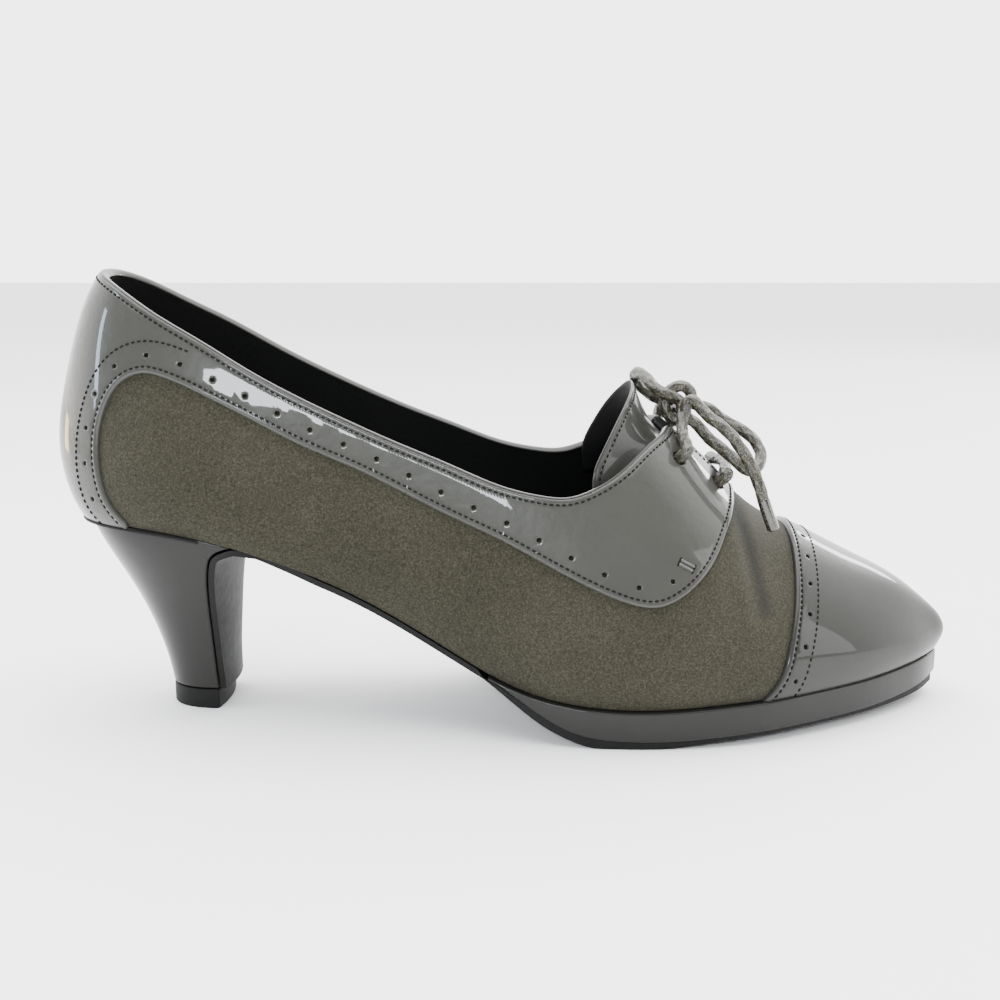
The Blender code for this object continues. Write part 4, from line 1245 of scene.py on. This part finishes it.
for line in np.concatenate([waist_lines, [u_at(drop + WAIST_END / 2)], fore_lines]):
    x0 = CURVES[0](line) * ALONG
    step = np.clip((x0 - drop) / WAIST_BLEND, 0, 1)
    ease = np.clip((x0 - CURVES[0](waist_lines[0]) * ALONG) / SEAT_BLEND, 0, 1)
    margin = OUTSOLE_MARGIN * step + (WAIST_PROUD * ease - SEAT_INSET * (1 - ease)) * (1 - step)
    a, b = (feather(np.array([line]), side, margin)[0] for side in (-1, 1))
    top = a + (b - a) * share
    low = top.copy()
    if x0 > drop + EPSILON:
        top[:, 2] = platform_under(top[:, 0], line) - GAP * (3 - 2 * step)
        low[:, 2] = np.maximum(under_curve(low[:, 0]), 0)
    else:
        top[:, 2] = feather_height(x0, line) - GAP
        low[:, 2] = feather_height(x0, line) - GAP - WAIST_THICKNESS
    sole_rows.append(np.concatenate([top, low[::-1]]))
item = dress("outsole_leaf", closed_mesh("outsole_leaf", np.array(sole_rows) + ORIGIN), rubber)
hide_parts("outsole")

# Heel seat shadow line
# A thin black cord round the heel seat, drawn as the edge of the board but put where the gap between the
# upper and the heel cover lies in shade: a painted shadow line. It stands a little proud of the last.
SHADOW_LINE_END, SHADOW_LINE_START, SHADOW_LINE_OUT, SHADOW_LINE_DROP, SHADOW_LINE_RADIUS = 0.205, 0.004, 0.00115, 0.00035, 0.00042
CORD_STEP, CORD_SIDES = 0.00026, 30


def even_points(points, step):
    """Points at even steps along a smooth curve through a route, and how far along it they lie."""
    knots = run_lengths(points)
    fine = np.stack([spline(knots, points[:, i])(np.linspace(0, knots[-1], 3000)) for i in range(3)], 1)
    length = run_lengths(fine)
    at = np.linspace(0, length[-1], max(4, round(length[-1] / step)))
    return between(at, length, fine), at


def braid(name, route, finish, radius, yarns=5, lay=0.0052, relief=0.085, ends=0.25):
    """A braided round cord: two families of yarns that cross over each other round the core. With no
    relief it is a plain round tube, as for the painted shadow line at the heel seat and the aglets."""
    spots, at = even_points(np.asarray(route, float), CORD_STEP)
    run = unit(np.gradient(spots, axis=0))
    side = np.cross(run[0], (0.3, 0.2, 1.0))
    frames = []
    for step in run:
        side = side - step * (side @ step)
        side = side / np.linalg.norm(side)
        frames.append(side)
    side = np.array(frames)
    other = np.cross(run, side)
    turn = np.linspace(0, 2 * math.pi, CORD_SIDES, endpoint=False)
    twist = 2 * math.pi * at[:, None] / lay
    left = np.cos(yarns * turn[None] + twist)
    right = np.cos(yarns * turn[None] - twist)
    top = np.maximum(left, right)
    tip = np.clip(np.minimum(at, at[-1] - at) / (radius * ends), 0, 1)[:, None]
    girth = radius * (1 - relief + relief * top) * np.sqrt(1 - (1 - tip) ** 2 * 0.9)
    rows = spots[:, None] + girth[..., None] * (side[:, None] * np.cos(turn)[None, :, None]
                                                + other[:, None] * np.sin(turn)[None, :, None])
    shape = closed_mesh(name, rows)
    tree, strand = tree_of(rows.reshape(-1, 3)), (left - right).ravel()
    mark(shape, "strand", [float(strand[tree.find(vert.co)[1]]) for vert in shape.vertices])
    item = dress(name, shape, finish)
    return item, spots


# A black cord round the heel seat: a painted shadow line in the gap between upper and heel cover.
shadow_line_u = np.concatenate([np.linspace(SHADOW_LINE_END, SHADOW_LINE_START, 50), np.linspace(SHADOW_LINE_START, SHADOW_LINE_END, 50)])
shadow_line_route = skin(shadow_line_u, np.repeat((0.002, 0.998), 50), SHADOW_LINE_OUT) - (0, 0, SHADOW_LINE_DROP)
braid("heel_seat_shadow_line", shadow_line_route, rubber, SHADOW_LINE_RADIUS, relief=0.0)

# Lace
# A round waxed braid, 3.3 mm thick, in grey and olive yarns. It lies in the lower eyelets as a bar,
# crosses from the upper ones to the knot, and is tied in a bow with two loops and two ends.
LACE = 0.0033
CROSSING = (
    (172.2, -12.5, 76.0), (172.7, -6.0, 82.1), (172.5, 0.0, 83.6), (172.7, 6.0, 81.6),
    (171.8, 12.5, 76.0),
)
LACE_SEAT, CROSSING_RISE, CROSSING_CLOSE, BAR_RISE, BAR_SEAT = 0.42, 0.8, 0.15, 0.4, 0.6
BAR_BOW, BAR_ENDS = 0.006, (0.12, 0.88)
KNOT = (
    (175.8, -3.8, 80.2), (172.4, -3.6, 79.2), (169.3, -3.0, 80.7), (168.3, -2.4, 83.6),
    (169.4, -1.6, 86.8), (172.2, -0.9, 88.3), (175.4, 0.0, 86.8), (176.5, 0.8, 83.6),
)
LEFT_LOOP = (
    (166.1, -3.1, 87.6), (164.2, -0.4, 89.6), (162.6, 3.6, 91.0), (161.2, 7.8, 90.8),
    (161.6, 9.8, 88.4), (164.0, 8.4, 86.2), (166.8, 5.6, 84.4),
)
RIGHT_LOOP = (
    (178.8, -6.6, 76.0), (180.6, -7.8, 74.3), (182.8, -9.2, 72.6), (185.5, -10.8, 70.4),
    (187.8, -11.8, 68.3), (190.7, -11.6, 66.6), (193.3, -9.2, 68.4), (194.0, -6.6, 71.0),
    (192.0, -3.6, 74.6), (188.2, -1.6, 77.2), (183.9, -0.2, 79.6), (180.2, 0.4, 82.2),
)
FRONT_END = (
    (174.4, -7.4, 85.2), (177.9, -10.2, 82.4), (180.9, -12.8, 80.0), (183.9, -15.0, 77.5),
    (186.7, -17.0, 73.9), (189.3, -18.8, 69.6), (191.5, -19.9, 64.1), (193.4, -20.3, 58.4),
    (195.6, -20.2, 52.6),
)
BACK_END = (
    (171.5, 9.6, 83.6), (169.8, 14.6, 81.6), (169.0, 19.2, 77.6), (169.0, 24.6, 73.0),
    (169.6, 30.2, 67.0), (170.6, 35.0, 60.6), (171.8, 38.8, 53.6), (172.8, 41.2, 47.0),
)
TIE = ((176.6, -5.6, 78.6), (173.4, -6.7, 81.6))
LEFT_START = ((173.0, -1.4, 84.0), (169.6, -3.6, 86.0))
LEFT_RETURN = ((169.6, 5.6, 83.6),)
DIP = (-0.0042, -0.0018)
lace = Finish("waxed braid")
strand = lace.add("Attribute", {"attribute_name": "strand"}, output="Fac")
yarn = lace.add("MapRange", None, {0: strand, 1: -1.2, 2: 1.2, 3: 0.0, 4: 1.0})
# Bright gold flecks in the colour of the braid: painted glints on the waxed yarns.
painted_glint = lace.ramp(lace.noise(2400, 2.0, 0.6), ((0.50, 0.0), (0.60, 1.0)))
dull = lace.blend(yarn, (0.0045, 0.0043, 0.0028), (0.0150, 0.0143, 0.0094))
lace.set(
    Base_Color=lace.blend(painted_glint * 0.80, dull, (0.115, 0.105, 0.066)),
    Roughness=0.42,
    Coat_Weight=0.25,
    Coat_Roughness=0.25,
    Normal=lace.bump(lace.noise(2600, 2.0), 0.00008, 0.5),
)


def seated(eyelet, side, heights):
    """Points over or under an eyelet, at heights over the last."""
    u, v = EYELETS[eyelet]
    return [skin(u, mirrored(v, side), height) for height in heights]


def placed(*rows):
    return np.array(rows) * SCALE + ORIGIN


low = OVERLAY + 2 * GAP + LACE_SEAT * LACE
u, v = EYELETS[1]
share = np.linspace(*BAR_ENDS, 5)
over = skin(u + BAR_BOW * np.sin(math.pi * share), v + (1 - 2 * v) * share,
            OVERLAY + 3 * GAP + BAR_SEAT * LACE)
bar_high = low + BAR_RISE * LACE
bar_route = [*seated(1, -1, (*DIP, low, bar_high)), *over, *seated(1, 1, (bar_high, low, *DIP[::-1]))]
bar, _ = braid("lace_bar_braid", bar_route, lace, LACE / 2)
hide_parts("lace_bar")
high, close = low + CROSSING_RISE * LACE, low + CROSSING_CLOSE * LACE
cross_route = [*seated(0, -1, (*DIP, low, close)), *placed(*CROSSING),
               *seated(0, 1, (high, low, *DIP[::-1]))]
crossing, _ = braid("lace_crossing_braid", cross_route, lace, LACE / 2)
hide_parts("lace_crossing")
front_route = placed(*KNOT, *RIGHT_LOOP[::-1], *TIE, *FRONT_END)
front_lace, front_spots = braid("lace_front_half", front_route, lace, LACE / 2)
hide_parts("lace_knot", "lace_right_loop", "lace_front_end")
back_route = placed(*LEFT_START, *LEFT_LOOP, *LEFT_RETURN, *BACK_END)
back_lace, back_spots = braid("lace_back_half", back_route, lace, LACE / 2)
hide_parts("lace_left_loop", "lace_back_end")

# Aglets
# Clear tubes that close the ends of the lace. They are shrunk onto the braid with heat, so its
# yarns show through.
AGLET_LENGTH, AGLET_RADIUS, AGLET_PAST = 0.0092, 0.00166, 1.2
aglet = Finish("clear aglet")
aglet.set(
    Base_Color=aglet.blend(aglet.ramp(aglet.noise(1500, 2.0), ((0.48, 0.0), (0.60, 1.0))),
                           (0.014, 0.0135, 0.0095), (0.050, 0.047, 0.034)),
    Roughness=0.12,
    Coat_Weight=1.0,
    Coat_Roughness=0.03,
)


def sleeve(name, spots):
    """The tube over the last stretch of a cord."""
    length = run_lengths(spots)
    end = spots[length > length[-1] - AGLET_LENGTH]
    end = np.concatenate([end, [end[-1] + (end[-1] - end[-2]) * AGLET_PAST]])
    return braid(name, end, aglet, AGLET_RADIUS, relief=0.0, ends=0.35)[0]


front_aglet = sleeve("front_aglet", front_spots)
back_aglet = sleeve("back_aglet", back_spots)
tuple(front_spots[0])
float(run_lengths(front_spots)[-1])
tuple(back_spots[0])
float(run_lengths(back_spots)[-1])

# Bar tack
# Two satin stitches across the facing where it takes the strain, with a dark tick at each end.
TACK, TACK_GAP = np.array(((168.5, 47.4), (172.2, 45.3))), 0.5
TACK_TICK, TACK_HEIGHT, SATIN_RADIUS, TICK_RADIUS = 1.15, 1.36, 0.00036, 0.00026
satin = Finish("grey satin stitch")
satin.set(
    Base_Color=satin.blend(satin.noise(2500, 2.0), (0.045, 0.045, 0.042), (0.10, 0.10, 0.095)),
    Roughness=0.5,
)
ends = TACK * (ALONG, UP)
run = (ends[1] - ends[0]) / np.linalg.norm(ends[1] - ends[0])
off = np.array([-run[1], run[0]]) * MM
bars = [(ends + off * TACK_GAP, satin, SATIN_RADIUS), (ends - off * TACK_GAP, satin, SATIN_RADIUS)]
bars += [(np.array([end - off * TACK_TICK, end + off * TACK_TICK]), thread, TICK_RADIUS) for end in ends]
for side, side_name in ((-1, "outer"), (1, "inner")):
    for i, (bar_ends, finish, radius) in enumerate(bars):
        chart = from_side(np.linspace(*bar_ends, 9), side)
        route = skin(*chart.T, TACK_HEIGHT * MM)
        braid(f"bar_tack_{side_name}_{i}", route, finish, radius, yarns=1, lay=0.0008, relief=0.2)

low, high = cad_box
out_low, out_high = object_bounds()
lines = [str(list(map(float, corner))) for corner in (low, high, out_low, out_high)]
